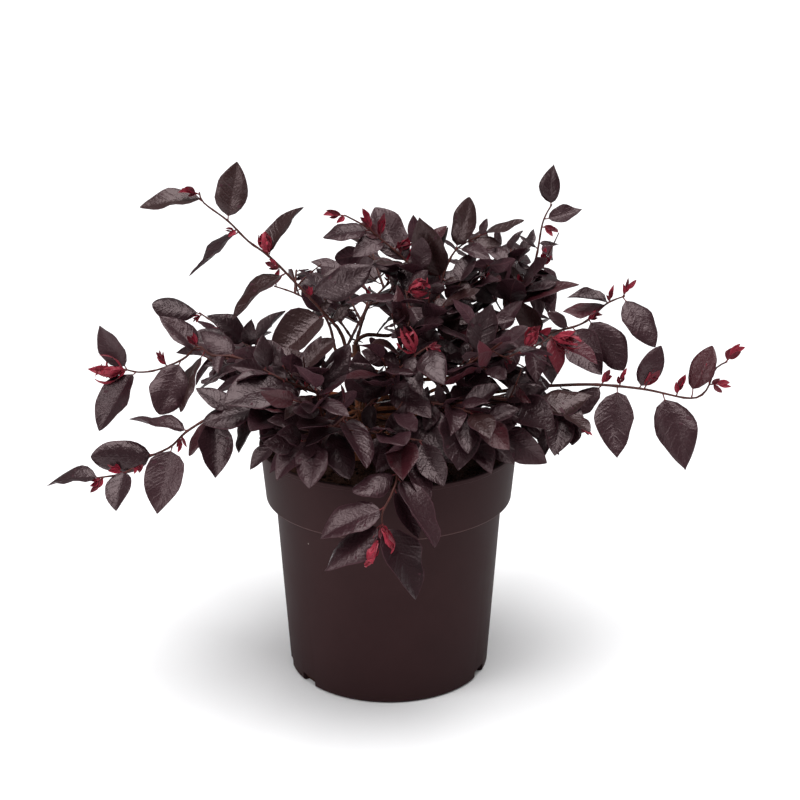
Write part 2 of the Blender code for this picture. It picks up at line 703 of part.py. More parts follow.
def leaves_along(name, line, filled, gap, size, rng, space):
    """Alternate leaves along the first part of a stem or twig, wherever one fits."""
    length = filled * sum((b - a).length for a, b in zip(line, line[1:]))
    count = max(1, round(length / gap))
    side = rng.choice((-1, 1))
    leaves = []
    if not filled:
        return leaves
    for i in range(count + 1):
        part = 0.1 + (filled - 0.1) * i / count
        young = 1 - 0.3 * part
        blade = place(space, name, rule_leaf(line, part, side, size * young * 1.1, rng), rng, 7)
        side = -side
        if blade:
            leaves.append(blade)
    return leaves


def pot_profile():
    """Radius and height down the outside, along the underside and up the inside."""
    shoulder = POT_HEIGHT - COLLAR_HEIGHT
    return [
        (RIM_RADIUS, POT_HEIGHT),
        (RIM_RADIUS - 0.1 * MM, POT_HEIGHT - LIP),
        (RIM_RADIUS - 0.9 * MM, POT_HEIGHT - LIP - 0.8 * MM),
        (COLLAR_RADIUS, shoulder + 0.8 * MM),
        (COLLAR_RADIUS - 0.8 * MM, shoulder),
        (BODY_TOP_RADIUS, shoulder - 0.6 * MM),
        (BASE_RADIUS, 2.2 * MM),
        (BASE_RADIUS - 2.2 * MM, 0),
        (0, 0),
    ]


def pot_inside():
    shoulder = POT_HEIGHT - COLLAR_HEIGHT
    return [
        (0, FLOOR),
        (BASE_RADIUS - WALL, FLOOR),
        (BODY_TOP_RADIUS - WALL, shoulder - 1.4 * MM),
        (COLLAR_RADIUS - WALL - 0.6 * MM, shoulder + 2.4 * MM),
        (RIM_RADIUS - WALL - 0.4 * MM, POT_HEIGHT),
    ]


def inside_radius(height):
    """The pot's inner radius at this height."""
    rows = pot_inside()[1:]
    for (r0, z0), (r1, z1) in zip(rows, rows[1:]):
        if z0 <= height <= z1:
            return r0 + (r1 - r0) * (height - z0) / (z1 - z0)
    return rows[-1][0]


def turned(profile, sides):
    """Corners and faces of a solid turned from a profile that starts and ends on the axis."""
    corners, faces = [], []
    rings = []
    for radius, height in profile:
        if radius == 0:
            rings.append([len(corners)] * sides)
            corners.append(Vector((0, 0, height)))
            continue
        rings.append([len(corners) + k for k in range(sides)])
        for k in range(sides):
            turn = math.tau * k / sides
            corners.append(Vector((radius * math.cos(turn), radius * math.sin(turn), height)))
    for upper, lower in zip(rings, rings[1:]):
        for k in range(sides):
            quad = [upper[k], lower[k], lower[(k + 1) % sides], upper[(k + 1) % sides]]
            kept = tuple(dict.fromkeys(quad))
            if len(kept) > 2:
                faces.append(kept)
    return corners, faces


def material(name, colour, roughness):
    made = bpy.data.materials.new(name)
    made.use_nodes = True
    shader = made.node_tree.nodes["Principled BSDF"]
    linear = [c / 12.92 if c <= 0.04045 else ((c + 0.055) / 1.055) ** 2.4 for c in colour]
    shader.inputs["Base Color"].default_value = (*linear, 1)
    shader.inputs["Roughness"].default_value = roughness
    shader.inputs["Metallic"].default_value = 0
    made.diffuse_color = (*linear, 1)
    return made


def mesh_object(name, shape, coat, collection):
    corners, faces = shape
    mesh = bpy.data.meshes.new(name)
    mesh.from_pydata([tuple(c) for c in corners], [], faces)
    work = bmesh.new()
    work.from_mesh(mesh)
    bmesh.ops.remove_doubles(work, verts=work.verts, dist=1e-7)
    bmesh.ops.recalc_face_normals(work, faces=work.faces)
    work.to_mesh(mesh)
    work.free()
    obj = bpy.data.objects.new(name, mesh)
    collection.objects.link(obj)
    if coat:
        mesh.materials.append(coat)
    return obj


def turned_object(name, profile, coat, collection):
    """A profile turned about Z by a Screw modifier."""
    mesh = bpy.data.meshes.new(name)
    corners = [(radius, 0, height) for radius, height in profile]
    edges = [(i, i + 1) for i in range(len(corners) - 1)]
    mesh.from_pydata(corners, edges, [])
    obj = bpy.data.objects.new(name, mesh)
    collection.objects.link(obj)
    screw = obj.modifiers.new("Turn", "SCREW")
    screw.axis = "Z"
    screw.steps = POT_SIDES
    screw.render_steps = POT_SIDES
    screw.use_merge_vertices = True
    screw.merge_threshold = 1e-5
    mesh.materials.append(coat)
    return obj


def apply_modifiers(obj):
    graph = bpy.context.evaluated_depsgraph_get()
    made = bpy.data.meshes.new_from_object(obj.evaluated_get(graph))
    obj.modifiers.clear()
    old = obj.data
    obj.data = made
    made.name = obj.name
    if old.users == 0:
        bpy.data.meshes.remove(old)


def make_pot(coat, parts, cutters):
    pot = turned_object("pot", pot_inside() + pot_profile(), coat, parts)
    notches = bpy.data.collections.new("notches")
    cutters.children.link(notches)
    for angle in NOTCH_ANGLES:
        out = Matrix.Rotation(math.radians(angle), 4, "Z")
        bpy.ops.mesh.primitive_cube_add(size=1)
        notch = bpy.context.object
        notch.name = "notch"
        notch.scale = (NOTCH_DEPTH, NOTCH_WIDTH, NOTCH_HEIGHT * 2)
        notch.location = out @ Vector((BASE_RADIUS, 0, 0))
        notch.rotation_euler = (0, 0, math.radians(angle))
        for owner in list(notch.users_collection):
            owner.objects.unlink(notch)
        notches.objects.link(notch)
        notch.hide_render = True
        notch.display_type = "WIRE"
    cut = pot.modifiers.new("Drain notches", "BOOLEAN")
    cut.operand_type = "COLLECTION"
    cut.collection = notches
    cut.operation = "DIFFERENCE"
    cut.solver = "MANIFOLD"
    return pot


def make_soil(coat, parts):
    floor = FLOOR + GAP
    shoulder = POT_HEIGHT - COLLAR_HEIGHT
    crown = SOIL_TOP - 2.5 * MM
    profile = [
        (0, SOIL_TOP), (50 * MM, SOIL_TOP), (inside_radius(crown) - 1.2 * MM, crown),
        (inside_radius(shoulder + 2.4 * MM) - 0.5 * MM, shoulder + 2.4 * MM),
        (inside_radius(shoulder - 1.4 * MM) - 0.5 * MM, shoulder - 1.4 * MM),
        (BASE_RADIUS - WALL - 0.6 * MM, floor), (0, floor),
    ]
    return turned_object("soil", profile, coat, parts)


def make_trunk(coat, parts):
    """The trunk: lobed where its roots flare, round and slimmer above."""
    heights = [0, 2, 5, 9, 15, 26, 42, 60, 78]
    sides = 10
    corners, faces = [], []
    for height in heights:
        middle = trunk_axis(height * MM)
        radius = trunk_radius(height * MM)
        lobes = trunk_lobes(height)
        for k in range(sides):
            turn = math.tau * k / sides
            wide = radius * (1 + lobes * math.cos(ROOT_LOBES * turn))
            corners.append(middle + Vector((math.cos(turn), math.sin(turn), 0)) * wide)
    for i in range(len(heights) - 1):
        for k in range(sides):
            a, b = i * sides + k, i * sides + (k + 1) % sides
            faces.append((a, b, b + sides, a + sides))
    faces.append(tuple(range(sides - 1, -1, -1)))
    last = (len(heights) - 1) * sides
    faces.append(tuple(range(last, last + sides)))
    return mesh_object("trunk", (corners, faces), coat, parts)


def make_bough(name, points, radii, coat, parts):
    """A tapering bough as a bevelled curve with filled caps."""
    curve = bpy.data.curves.new(name, "CURVE")
    curve.dimensions = "3D"
    curve.bevel_depth = BOUGH_RADIUS
    curve.bevel_resolution = 1
    curve.use_fill_caps = True
    spline = curve.splines.new("POLY")
    spline.points.add(len(points) - 1)
    for spot, point, radius in zip(spline.points, points, radii):
        spot.co = (*point, 1)
        spot.radius = radius / BOUGH_RADIUS
    obj = bpy.data.objects.new(name, curve)
    parts.objects.link(obj)
    curve.materials.append(coat)
    return obj


def keep_one_body(obj):
    """Fills sealed hollows and drops loose scraps: only the largest outward shell stays."""
    work = bmesh.new()
    work.from_mesh(obj.data)
    left = set(work.faces)
    shells = []
    while left:
        shell, edge = set(), [left.pop()]
        while edge:
            face = edge.pop()
            shell.add(face)
            for side in face.edges:
                for other in side.link_faces:
                    if other in left:
                        left.remove(other)
                        edge.append(other)
        shells.append(shell)
    shells.sort(key=len)
    for shell in shells[:-1]:
        bmesh.ops.delete(work, geom=list(shell), context="FACES")
    loose = [v for v in work.verts if not v.link_faces]
    bmesh.ops.delete(work, geom=loose, context="VERTS")
    work.to_mesh(obj.data)
    work.free()
    return len(shells) - 1


def fuse(name, grown, coat, parts):
    """One solid of a shoot's stem, twigs, leaves and tufts, by a Boolean union."""
    stem = grown["stem"]
    radii = taper(STEM_RADIUS, STEM_TIP_RADIUS, len(stem))
    body = mesh_object(name, tube(stem, radii, 3), coat, parts)
    pieces = bpy.data.collections.new(name + " pieces")
    bpy.context.scene.collection.children.link(pieces)
    for points in grown["twigs"]:
        mesh_object("twig", tube(points, taper(TWIG_RADIUS, TWIG_TIP_RADIUS, 3), 3), None, pieces)
    for blade in grown["outline"]:
        mesh_object("leaf", leaf_shape(blade, 0, True), None, pieces)
    for blade in grown["leaves"] + grown["tufts"]:
        mesh_object("leaf", leaf_shape(blade), None, pieces)
    union = body.modifiers.new("Fuse", "BOOLEAN")
    union.operand_type = "COLLECTION"
    union.collection = pieces
    union.operation = "UNION"
    union.solver = "MANIFOLD"
    apply_modifiers(body)
    for obj in list(pieces.objects):
        mesh = obj.data
        bpy.data.objects.remove(obj)
        bpy.data.meshes.remove(mesh)
    bpy.data.collections.remove(pieces)
    keep_one_body(body)
    return body


def plan():
    """All shoots as stems, boughs, twigs and blades, none of which meets another's."""
    space = Space()
    space.add("pot", turned(pot_profile()[:-1] + [(0, 0)], POT_SIDES)[0:2], "limb")
    peat = [(0, SOIL_TOP + 1 * MM), (80 * MM, SOIL_TOP + 1 * MM), (0, SOIL_TOP - 20 * MM)]
    space.add("soil", turned(peat, 24), "limb")
    heights = [TRUNK_LENGTH * i / 8 for i in range(9)]
    trunk = tube([trunk_axis(h) for h in heights], [trunk_radius(h) * 1.1 for h in heights], 10)
    space.add("trunk", trunk, "limb")
    shoots = {}
    for name, row in SHOOTS.items():
        points = smooth([seen(*spot) for spot in row["stem"]], STEM_POINTS)
        shoots[name] = dict(row, points=points)
    for name, (height, angle, reach, rise, twigs) in FAR_SHOOTS.items():
        points = smooth(far_stem(angle, reach, rise), STEM_POINTS)
        shoots[name] = dict(bough=height, points=points, leaves=[], tufts=FAR_TUFTS, twigs=twigs, filled=1.0)
    for name, shoot in shoots.items():
        shoot["line"] = bough_line(shoot["bough"], shoot["points"])
        shoot["radii"] = taper(BOUGH_RADIUS, STEM_RADIUS, len(shoot["line"]))
        space.add("bough_" + name, tube(shoot["line"], shoot["radii"], 6), "limb")
        space.add(name, tube(shoot["points"], taper(STEM_RADIUS, STEM_TIP_RADIUS, STEM_POINTS), 3), "limb")
    for name, shoot in shoots.items():
        shoot["grown"] = grow_shoot(name, shoot, space)
    return shoots


def main():
    for obj in list(bpy.data.objects):
        bpy.data.objects.remove(obj)
    parts = bpy.data.collections.new("fringe flower")
    cutters = bpy.data.collections.new("cutters")
    bpy.context.scene.collection.children.link(parts)
    bpy.context.scene.collection.children.link(cutters)
    plastic = material("dark matt plastic", (0.20, 0.15, 0.155), 0.55)
    peat = material("moist peat", (0.16, 0.09, 0.07), 0.95)
    bark = material("young bark", (0.44, 0.25, 0.15), 0.7)
    foliage = material("dark leaves", (0.22, 0.17, 0.19), 0.4)
    make_pot(plastic, parts, cutters)
    make_soil(peat, parts)
    make_trunk(bark, parts)
    for name, shoot in plan().items():
        make_bough("bough_" + name, shoot["line"], shoot["radii"], bark, parts)
        fuse(name, shoot["grown"], foliage, parts)


main()
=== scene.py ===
import math
import random

import bmesh
import bpy
import numpy as np
from mathutils import Matrix, Quaternion, Vector
from mathutils.bvhtree import BVHTree


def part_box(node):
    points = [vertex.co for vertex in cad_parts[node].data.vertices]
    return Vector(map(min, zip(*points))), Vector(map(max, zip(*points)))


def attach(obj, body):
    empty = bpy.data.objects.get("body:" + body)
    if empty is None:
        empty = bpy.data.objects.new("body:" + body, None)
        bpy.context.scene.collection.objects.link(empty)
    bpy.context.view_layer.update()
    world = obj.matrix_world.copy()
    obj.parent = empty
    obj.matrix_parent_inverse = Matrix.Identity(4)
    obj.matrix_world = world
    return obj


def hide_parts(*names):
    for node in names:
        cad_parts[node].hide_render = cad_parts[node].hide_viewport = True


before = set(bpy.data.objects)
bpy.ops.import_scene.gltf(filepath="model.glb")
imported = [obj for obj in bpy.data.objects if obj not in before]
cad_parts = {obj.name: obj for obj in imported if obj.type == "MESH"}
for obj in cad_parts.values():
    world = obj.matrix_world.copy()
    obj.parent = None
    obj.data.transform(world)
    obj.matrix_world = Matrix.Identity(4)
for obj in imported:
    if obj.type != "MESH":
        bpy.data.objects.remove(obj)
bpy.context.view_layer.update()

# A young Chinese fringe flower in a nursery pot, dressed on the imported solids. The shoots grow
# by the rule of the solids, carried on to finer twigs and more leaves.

MM = 0.001
UP = Vector((0, 0, 1))

# Pot
RIM_RADIUS = 85 * MM
COLLAR_RADIUS = 81.1 * MM
BODY_TOP_RADIUS = 75 * MM
BASE_RADIUS = 67 * MM
POT_HEIGHT = 158 * MM
COLLAR_HEIGHT = 37 * MM
WALL = 1.6 * MM
FLOOR = 2.4 * MM
LIP = 2.6 * MM
NOTCH_WIDTH = 13 * MM
NOTCH_HEIGHT = 6.5 * MM
NOTCH_DEPTH = 9 * MM
NOTCH_ANGLES = (-26, -142, 6, 48, 100, 150, 190)
POT_SIDES = 36

# Soil
SOIL_TOP = 144.5 * MM
GAP = 0.3 * MM

# Trunk, from its flat cut on the soil to its tip
TRUNK_FOOT = Vector((-17 * MM, 3 * MM, SOIL_TOP + GAP))
TRUNK_LEAN = Vector((-4 * MM, -2 * MM, 0))
TRUNK_LENGTH = 78 * MM
FLARE_RADIUS = 9 * MM
TRUNK_RADIUS = 4.6 * MM
TIP_RADIUS = 2.6 * MM
ROOT_LOBES = 5

# Limbs
BOUGH_RADIUS = 1.4 * MM
STEM_RADIUS = 1.1 * MM
STEM_TIP_RADIUS = 0.65 * MM
STEM_POINTS = 6
TWIG_RADIUS = 0.95 * MM
TWIG_TIP_RADIUS = 0.6 * MM
UPRIGHT = 0.2

# Foliage
LEAF_LENGTH = 38 * MM
LEAF_RATIO = 0.56
OUTLINE_RATIO = 0.58
LEAN_SWINGS = (0, 12, -12, 24, -24, 36, -36, 48)
LEAF_THICKNESS = 0.9 * MM
LEAF_GAP = 17.5 * MM
TUFT_LENGTH = 12 * MM
FLOWER_SIZE = 1.45
BLADES = {False: ((0.0, 1.0),), True: ((-0.3, 1.0), (0.35, 0.85))}
CLEARANCE = 0.5 * MM
ROOT_DEPTH = 0.25 * MM
TIP_INSET = 1.6 * MM
SEED = 41

# The viewpoint in front of the plant that its shoots are laid out from
EYE = Vector((7.5 * MM, -1000 * MM, 530 * MM))
EYE_PITCH = math.radians(19)
ACROSS = Vector((1, 0, 0))
ALOFT = Vector((0, math.sin(EYE_PITCH), math.cos(EYE_PITCH)))
TO_EYE = Vector((0, -math.cos(EYE_PITCH), math.sin(EYE_PITCH)))
CENTRE = Vector((-20 * MM, 0, 170 * MM))

# Each shoot: the height on the trunk where its bough leaves, then its stem as it shows from
# that viewpoint, in mm right of the trunk, above its foot and nearer to the eye. A leaf that
# shapes the outline is given by its place along the stem, its tip in mm right and above,
# how far it leans to the eye and how far its face is turned up from the eye. A tuft is its
# place, its angle and its size.
SHOOTS = {
    "left_high": dict(
        bough=70,
        stem=[
            (-15, 64, 5), (-29, 79, 8), (-56, 107, 12), (-72, 119, 15), (-85, 132, 18), (-101, 144, 20),
            (-104, 151, 20),
        ],
        leaves=[
            (0.79, -80, 171, 10, 0), (0.95, -143, 141, 5, 56), (0.71, -111, 96, 10, 62),
            (0.51, -36, 141, -10, 48), (0.38, -82, 68, 12, 58), (0.08, -55, 40, 20, 42),
            (0.21, 9, 102, 5, 30), (0.03, -6, 78, 15, 15), (0.12, -18, 78, 25, 10),
        ],
        tufts=[(1.0, 172, 1.3), (0.72, 195, 0.9), (0.51, 100, 1.5), (0.42, 170, 0.9), (0.2, 100, 0.9)],
        twigs=0, filled=0,
    ),
    "left_shoulder": dict(
        bough=58,
        stem=[(-38, 41, -10), (-63, 45, -16), (-77, 54, -20), (-89, 62, -25), (-104, 72, -30)],
        leaves=[
            (1.0, -135, 78, 15, 32), (0.5, -98, 71, 20, 22), (0.42, -47, 73, 0, 70),
            (0.45, -70, 68, 25, 0), (0.62, -112, 55, 20, 40),
        ],
        tufts=[(0.97, 205, 0.8), (0.8, 250, 0.7), (0.38, 75, 0.8)],
        twigs=0, filled=0.3,
    ),
    "left_middle": dict(
        bough=44,
        stem=[
            (-63, 35, 25), (-81, 43, 27), (-96, 44, 29), (-105, 50, 31), (-114, 42, 33),
            (-130, 35, 36), (-143, 33, 38), (-153, 35, 40),
        ],
        leaves=[
            (1.0, -170, 63, 10, 0), (0.92, -170, -5, 15, 32), (0.6, -130, 5, 20, 0),
            (0.43, -117, 7, 15, 48), (0.47, -130, 70, -5, 40), (0.2, -104, 60, -15, 35),
            (0.12, -105, 22, 10, 55), (0.3, -92, 32, 30, 10),
        ],
        tufts=[(1.0, 184, 2.1), (0.98, 205, 1.2), (0.72, 115, 0.9), (0.47, 130, 0.9)],
        twigs=0, filled=0,
    ),
    "left_low": dict(
        bough=24,
        stem=[
            (-48, 12, 55), (-89, 6, 62), (-111, -5, 66),
            (-123, -16, 68), (-138, -23, 70), (-153, -33, 72),
            (-170, -36, 75),
        ],
        leaves=[
            (0.5, -150, 3, 5, 56), (0.61, -131, -60, 15, 24),
            (0.7, -175, -23, 10, 5), (0.87, -159, -58, 35, 0),
            (1.0, -204, -42, 0, 72), (0.36, -93, -36, 15, 0),
            (0.37, -111, -22, 10, 40), (0.1, -102, 0, 5, 45),
            (0.24, -106, 23, -15, 35), (0.05, -71, -5, 35, 0), (0.13, -78, -20, 15, 55),
        ],
        tufts=[(0.97, 215, 1.1), (0.88, 150, 1.1), (0.78, 250, 0.8), (0.54, 255, 1.0), (0.25, 265, 1.0)],
        twigs=0, filled=0,
    ),
    "inner_left": dict(
        bough=37,
        stem=[(-12, 14, 45), (-36, 23, 60), (-49, 28, 65), (-62, 35, 66)],
        leaves=[
            (0.55, -87, 12, 15, 42), (1.0, -63, 58, 10, 25),
            (0.12, -14, -14, -10, 30), (0.4, -44, 47, 0, 48),
            (0.2, -24, 42, 5, 35), (0.75, -42, 8, 25, 15), (0.9, -80, 27, 15, 60), (0.3, -26, 8, 30, 5),
            (0.28, -6, 51, 0, 15), (0.6, -24, 57, -10, 30),
        ],
        tufts=[(0.5, 60, 0.8), (0.2, 70, 0.8)],
        twigs=2, filled=0.7,
    ),
    "front_left": dict(
        bough=27,
        stem=[(-7, 5, 65), (-22, -7, 80), (-35, -12, 85), (-54, -12, 85)],
        leaves=[
            (0.5, -53, -38, 20, 25), (1.0, -71, -31, 10, 48),
            (0.55, -33, -43, 25, 0), (0.3, -5, -37, 20, 12),
            (0.05, 9, -24, 20, 10), (0.75, -62, -13, 30, 10),
        ],
        tufts=[(0.45, 80, 0.7)],
        twigs=0, filled=0.7,
    ),
    "front_centre": dict(
        bough=45,
        stem=[(5, 9, 35), (18, 24, 50), (31, 39, 60), (46, 50, 65)],
        leaves=[
            (0.1, 9, -8, 25, 0), (0.85, 30, 28, 20, 22), (1.0, 57, 25, 42, 0), (0.45, 48, 3, 20, 15),
            (0.3, -8, 37, 10, 15), (0.4, 4, 16, 30, 10), (0.65, 12, 44, 15, 30), (0.7, 42, 18, 35, 10),
            (0.02, 0, 47, 5, 10),
        ],
        tufts=[(0.85, 120, 1.6), (1.0, 15, 0.9)],
        twigs=1, filled=0.6,
    ),
    "front_right": dict(
        bough=34,
        stem=[(31, 7, 50), (47, 13, 65), (70, 8, 75), (86, 1, 80)],
        leaves=[
            (0.2, 62, -27, 25, 0), (0.6, 65, -31, 20, 18), (0.85, 99, -18, 15, 15), (0.5, 52, 26, 10, 20),
            (0.7, 92, 25, 10, 30), (0.95, 106, 8, 10, 45), (0.4, 44, -6, 35, 10), (0.3, 46, 24, 0, 30),
        ],
        tufts=[],
        twigs=1, filled=0.8,
    ),
    "front_hanging": dict(
        bough=11,
        stem=[(25, -9, 60), (26, -33, 88), (22, -47, 97), (16, -59, 99), (16, -68, 99)],
        leaves=[
            (0.5, -4, -45, 20, 22), (0.84, -25, -75, 10, 26),
            (1.0, -22, -97, 10, 38), (0.66, 39, -76, 10, 45),
            (0.3, 46, -56, 20, 45), (0.52, 50, -82, 10, 58),
            (0.98, 39, -115, 5, 22), (0.1, 12, -33, 25, 5),
        ],
        tufts=[(1.0, 288, 1.5), (1.0, 249, 1.5)],
        twigs=0, filled=0,
    ),
    "top_left": dict(
        bough=76,
        stem=[(31, 63, 2), (40, 84, -2), (33, 104, -2), (14, 121, 0), (4, 129, 4), (-9, 136, 6)],
        leaves=[
            (0.8, -23, 121, 5, 52), (0.7, 1, 131, 5, 5), (0.68, -4, 109, 25, 10), (0.45, 9, 104, 0, 45),
            (0.3, 12, 104, -10, 40), (0.6, 22, 118, -20, 40),
            (0.2, 22, 88, 10, 20), (0.45, 10, 140, -15, 20),
        ],
        tufts=[(1.0, 185, 1.4), (0.78, 122, 1.4), (0.72, 80, 1.3), (0.6, 30, 1.1), (0.55, 60, 1.3)],
        twigs=1, filled=0.4,
    ),
    "top_centre": dict(
        bough=62,
        stem=[(31, 35, 16), (48, 70, 14), (56, 97, 8), (65, 114, 5), (83, 124, 5)],
        leaves=[
            (0.58, 39, 134, 15, 0), (0.8, 72, 148, 5, 8), (0.82, 87, 108, 15, 28), (0.6, 77, 80, 20, 8),
            (0.5, 60, 53, 20, 0), (0.97, 85, 134, 10, 10), (1.0, 109, 133, 0, 50), (0.9, 94, 117, 0, 25),
            (0.4, 74, 66, 10, 25), (0.3, 34, 56, 25, 10),
        ],
        tufts=[(0.5, 150, 1.5)],
        twigs=2, filled=0.55,
    ),
    "inner_right": dict(
        bough=46,
        stem=[(54, 24, 40), (77, 41, 50), (100, 47, 50), (116, 50, 48), (127, 57, 46)],
        leaves=[
            (1.0, 132, 32, 10, 5), (0.97, 157, 38, 0, 58), (0.66, 71, 27, 10, 52), (0.8, 117, 26, 20, 8),
            (0.38, 87, 77, 10, 5), (0.46, 104, 60, 5, 25), (0.25, 90, 22, 30, 10), (0.72, 96, 32, 30, 15),
            (0.9, 127, 25, -10, 10),
        ],
        tufts=[(0.75, 50, 1.7), (0.6, 280, 1.1), (1.0, 350, 1.7), (0.84, 290, 1.1)],
        twigs=2, filled=0.6,
    ),
    "right_high": dict(
        bough=66,
        stem=[(91, 60, -12), (106, 86, -8), (116, 106, -8), (121, 131, -8), (127, 143, -10)],
        leaves=[
            (1.0, 127, 169, 5, 0), (0.88, 147, 140, 0, 25),
            (0.7, 132, 117, 5, 42), (0.66, 106, 123, -10, 55),
            (0.45, 122, 105, 10, 45), (0.3, 130, 92, 0, 56),
            (0.22, 145, 90, 5, 66), (0.4, 92, 103, 0, 25),
            (0.3, 83, 90, 15, 10), (0.5, 105, 106, -20, 30), (0.12, 104, 80, 20, 15),
        ],
        tufts=[(0.82, 335, 1.0), (0.35, 100, 1.0)],
        twigs=1, filled=0.3,
    ),
    "right_shoulder": dict(
        bough=54,
        stem=[(96, 41, 10), (122, 57, 10), (147, 65, 8), (163, 78, 5), (175, 83, 5)],
        leaves=[
            (0.86, 134, 73, 0, 48), (0.88, 137, 82, 10, 58),
            (1.0, 195, 50, 15, 18), (0.68, 174, 34, 10, 0),
            (0.52, 124, 72, 10, 32), (0.3, 104, 80, 10, 5),
            (0.55, 160, 32, 25, 0), (0.48, 148, 36, 0, 20),
        ],
        tufts=[
            (0.88, 80, 0.9), (1.0, 60, 1.3), (0.66, 20, 1.1),
            (0.5, 120, 1.0), (0.25, 30, 1.3), (0.2, 100, 1.2),
        ],
        twigs=0, filled=0.3,
    ),
    "right_long": dict(
        bough=34,
        stem=[
            (122, 24, 28), (154, 25, 33), (187, 22, 38), (217, 16, 42), (228, 21, 43), (234, 35, 43),
            (242, 40, 43),
        ],
        leaves=[
            (0.48, 199, 50, 10, 5), (0.37, 169, -23, 15, 0),
            (0.6, 214, -31, 10, 0), (0.74, 233, 50, 5, 45),
            (0.08, 142, 1, 15, 62), (0.29, 142, 4, 0, 38), (0.05, 98, 27, 0, 42),
        ],
        tufts=[
            (0.29, 50, 1.0), (0.38, 70, 0.9), (0.5, 55, 1.2),
            (0.66, 75, 1.3), (0.93, 110, 0.9), (1.0, 45, 1.3),
            (0.85, 95, 1.3), (0.85, 350, 1.1),
        ],
        twigs=0, filled=0,
    ),
    "right_low": dict(
        bough=21,
        stem=[(73, 18, 45), (106, 14, 60), (132, 9, 65), (146, 0, 65)],
        leaves=[
            (0.55, 153, 18, 5, 45), (0.8, 129, -22, 25, 0),
            (0.95, 140, -15, 15, 35), (0.5, 118, -10, 25, 10),
            (0.3, 118, 22, 20, 30), (0.7, 148, 3, 15, 40), (0.4, 128, -4, 30, 5),
        ],
        tufts=[(1.0, 310, 1.1), (0.5, 270, 0.8)],
        twigs=0, filled=0.8,
    ),
    "rim_left": dict(
        bough=16,
        stem=[(-10, -2, 52), (-28, -5, 68), (-46, -2, 70), (-62, 3, 66)],
        leaves=[(1.0, -58, -18, 30, 30)],
        tufts=[],
        twigs=1, filled=0.9,
    ),
    "rim_right": dict(
        bough=17,
        stem=[(34, -4, 42), (56, -7, 58), (78, -8, 66), (95, -3, 64)],
        leaves=[
            (1.0, 123, -27, 15, 0), (0.7, 88, -33, 30, 10), (0.4, 42, -28, 30, 10), (0.8, 106, 2, 20, 20),
        ],
        tufts=[],
        twigs=1, filled=0.9,
    ),
    "core": dict(
        bough=50,
        stem=[(15, 26, 24), (27, 50, 30), (34, 68, 30), (31, 87, 26)],
        leaves=[
            (0.9, -8, 79, 5, 60), (0.75, 14, 75, 20, 10), (0.85, 47, 52, 20, 28), (0.25, 2, 46, 15, 28),
            (0.6, 22, 55, 30, 10), (0.95, 46, 100, 5, 40),
        ],
        tufts=[(0.98, 20, 1.5)],
        twigs=2, filled=0.8,
    ),
    "low_centre": dict(
        bough=22,
        stem=[(6, -4, 52), (16, -8, 66), (30, -10, 72), (42, -12, 74)],
        leaves=[
            (0.3, 14, -34, 25, 10), (1.0, 56, -42, 20, 10), (0.7, 30, -38, 35, 0), (0.5, 32, 12, 20, 15),
        ],
        tufts=[],
        twigs=0, filled=0.9,
    ),
    "low_left": dict(
        bough=31,
        stem=[(-18, 4, 44), (-34, 5, 52), (-50, 8, 54), (-62, 14, 52)],
        leaves=[(1.0, -79, 4, 15, 30)],
        tufts=[],
        twigs=0, filled=0.9,
    ),
    "low_right": dict(
        bough=30,
        stem=[(62, 12, 26), (84, 13, 34), (104, 12, 38), (122, 8, 40)],
        leaves=[(1.0, 148, 2, 0, 20)],
        tufts=[],
        twigs=1, filled=0.9,
    ),
}

# Tufts of each shoot of the far side
FAR_TUFTS = [(1.0, 85, 1.1), (0.62, 100, 0.9)]

# Shoots of the far side: bough's height on the trunk, compass angle from +X, reach and rise
# in mm, and twigs
FAR_SHOOTS = {
    "back_right": (50, 33, 150, 58, 4),
    "back_right_low": (29, 56, 145, 2, 4),
    "back_high": (67, 72, 88, 60, 4),
    "back_centre": (39, 92, 170, 26, 4),
    "back_left_high": (53, 118, 122, 38, 4),
    "back_left_low": (19, 140, 140, -6, 4),
}

# Patches of sky that show through and round the crown from the viewpoint, which twigs and
# leaves of the rule leave open: mm right of the trunk, above its foot, and radius
OPEN_SKY = (
    (-66, 104, 10), (16, 91, 7), (6, 92, 7), (-12, 82, 5), (-43, 71, 8), (24, 113, 7),
    (-94, 86, 15), (-76, 92, 9), (-49, 84, 10), (-56, 103, 5), (-41, 116, 13), (-22, 114, 10),
    (-62, 88, 9), (-36, 84, 6), (-40, 66, 5), (4, 68, 12), (14, 68, 7), (-27, 62, 6), (-6, 60, 6),
    (-18, 62, 6), (8, 40, 5), (14, 96, 4), (-24, 150, 26), (14, 158, 22), (34, 146, 9), (52, 160, 14),
    (92, 152, 17), (108, 160, 14), (146, 108, 16), (150, 132, 14), (160, 98, 10), (134, 66, 5),
    (-150, 70, 18), (-137, 12, 8), (-86, 26, 6), (-60, 34, 3), (-132, -6, 10), (-104, -42, 12),
    (-74, -44, 12), (-150, 20, 10), (138, -44, 18), (152, -20, 8), (166, 12, 5), (190, 30, 10),
    (108, -42, 10),
)

# Blades as they show: rows from base to tip, columns from edge to edge, both in parts
BLADE_ROWS = (0.0, 0.05, 0.13, 0.22, 0.31, 0.40, 0.49, 0.58, 0.67, 0.76, 0.85, 0.95, 1.0)
BLADE_COLUMNS = (-1.0, -0.95, -0.5, -0.04, 0.04, 0.5, 0.95, 1.0)
VEIN_SLANT = 0.13
QUILTING = 0.045
BLADE_THICKNESS = 0.38 * MM
PETIOLE = 0.09
PETIOLE_RADIUS = 0.5 * MM
VEIN_PAIRS = 6

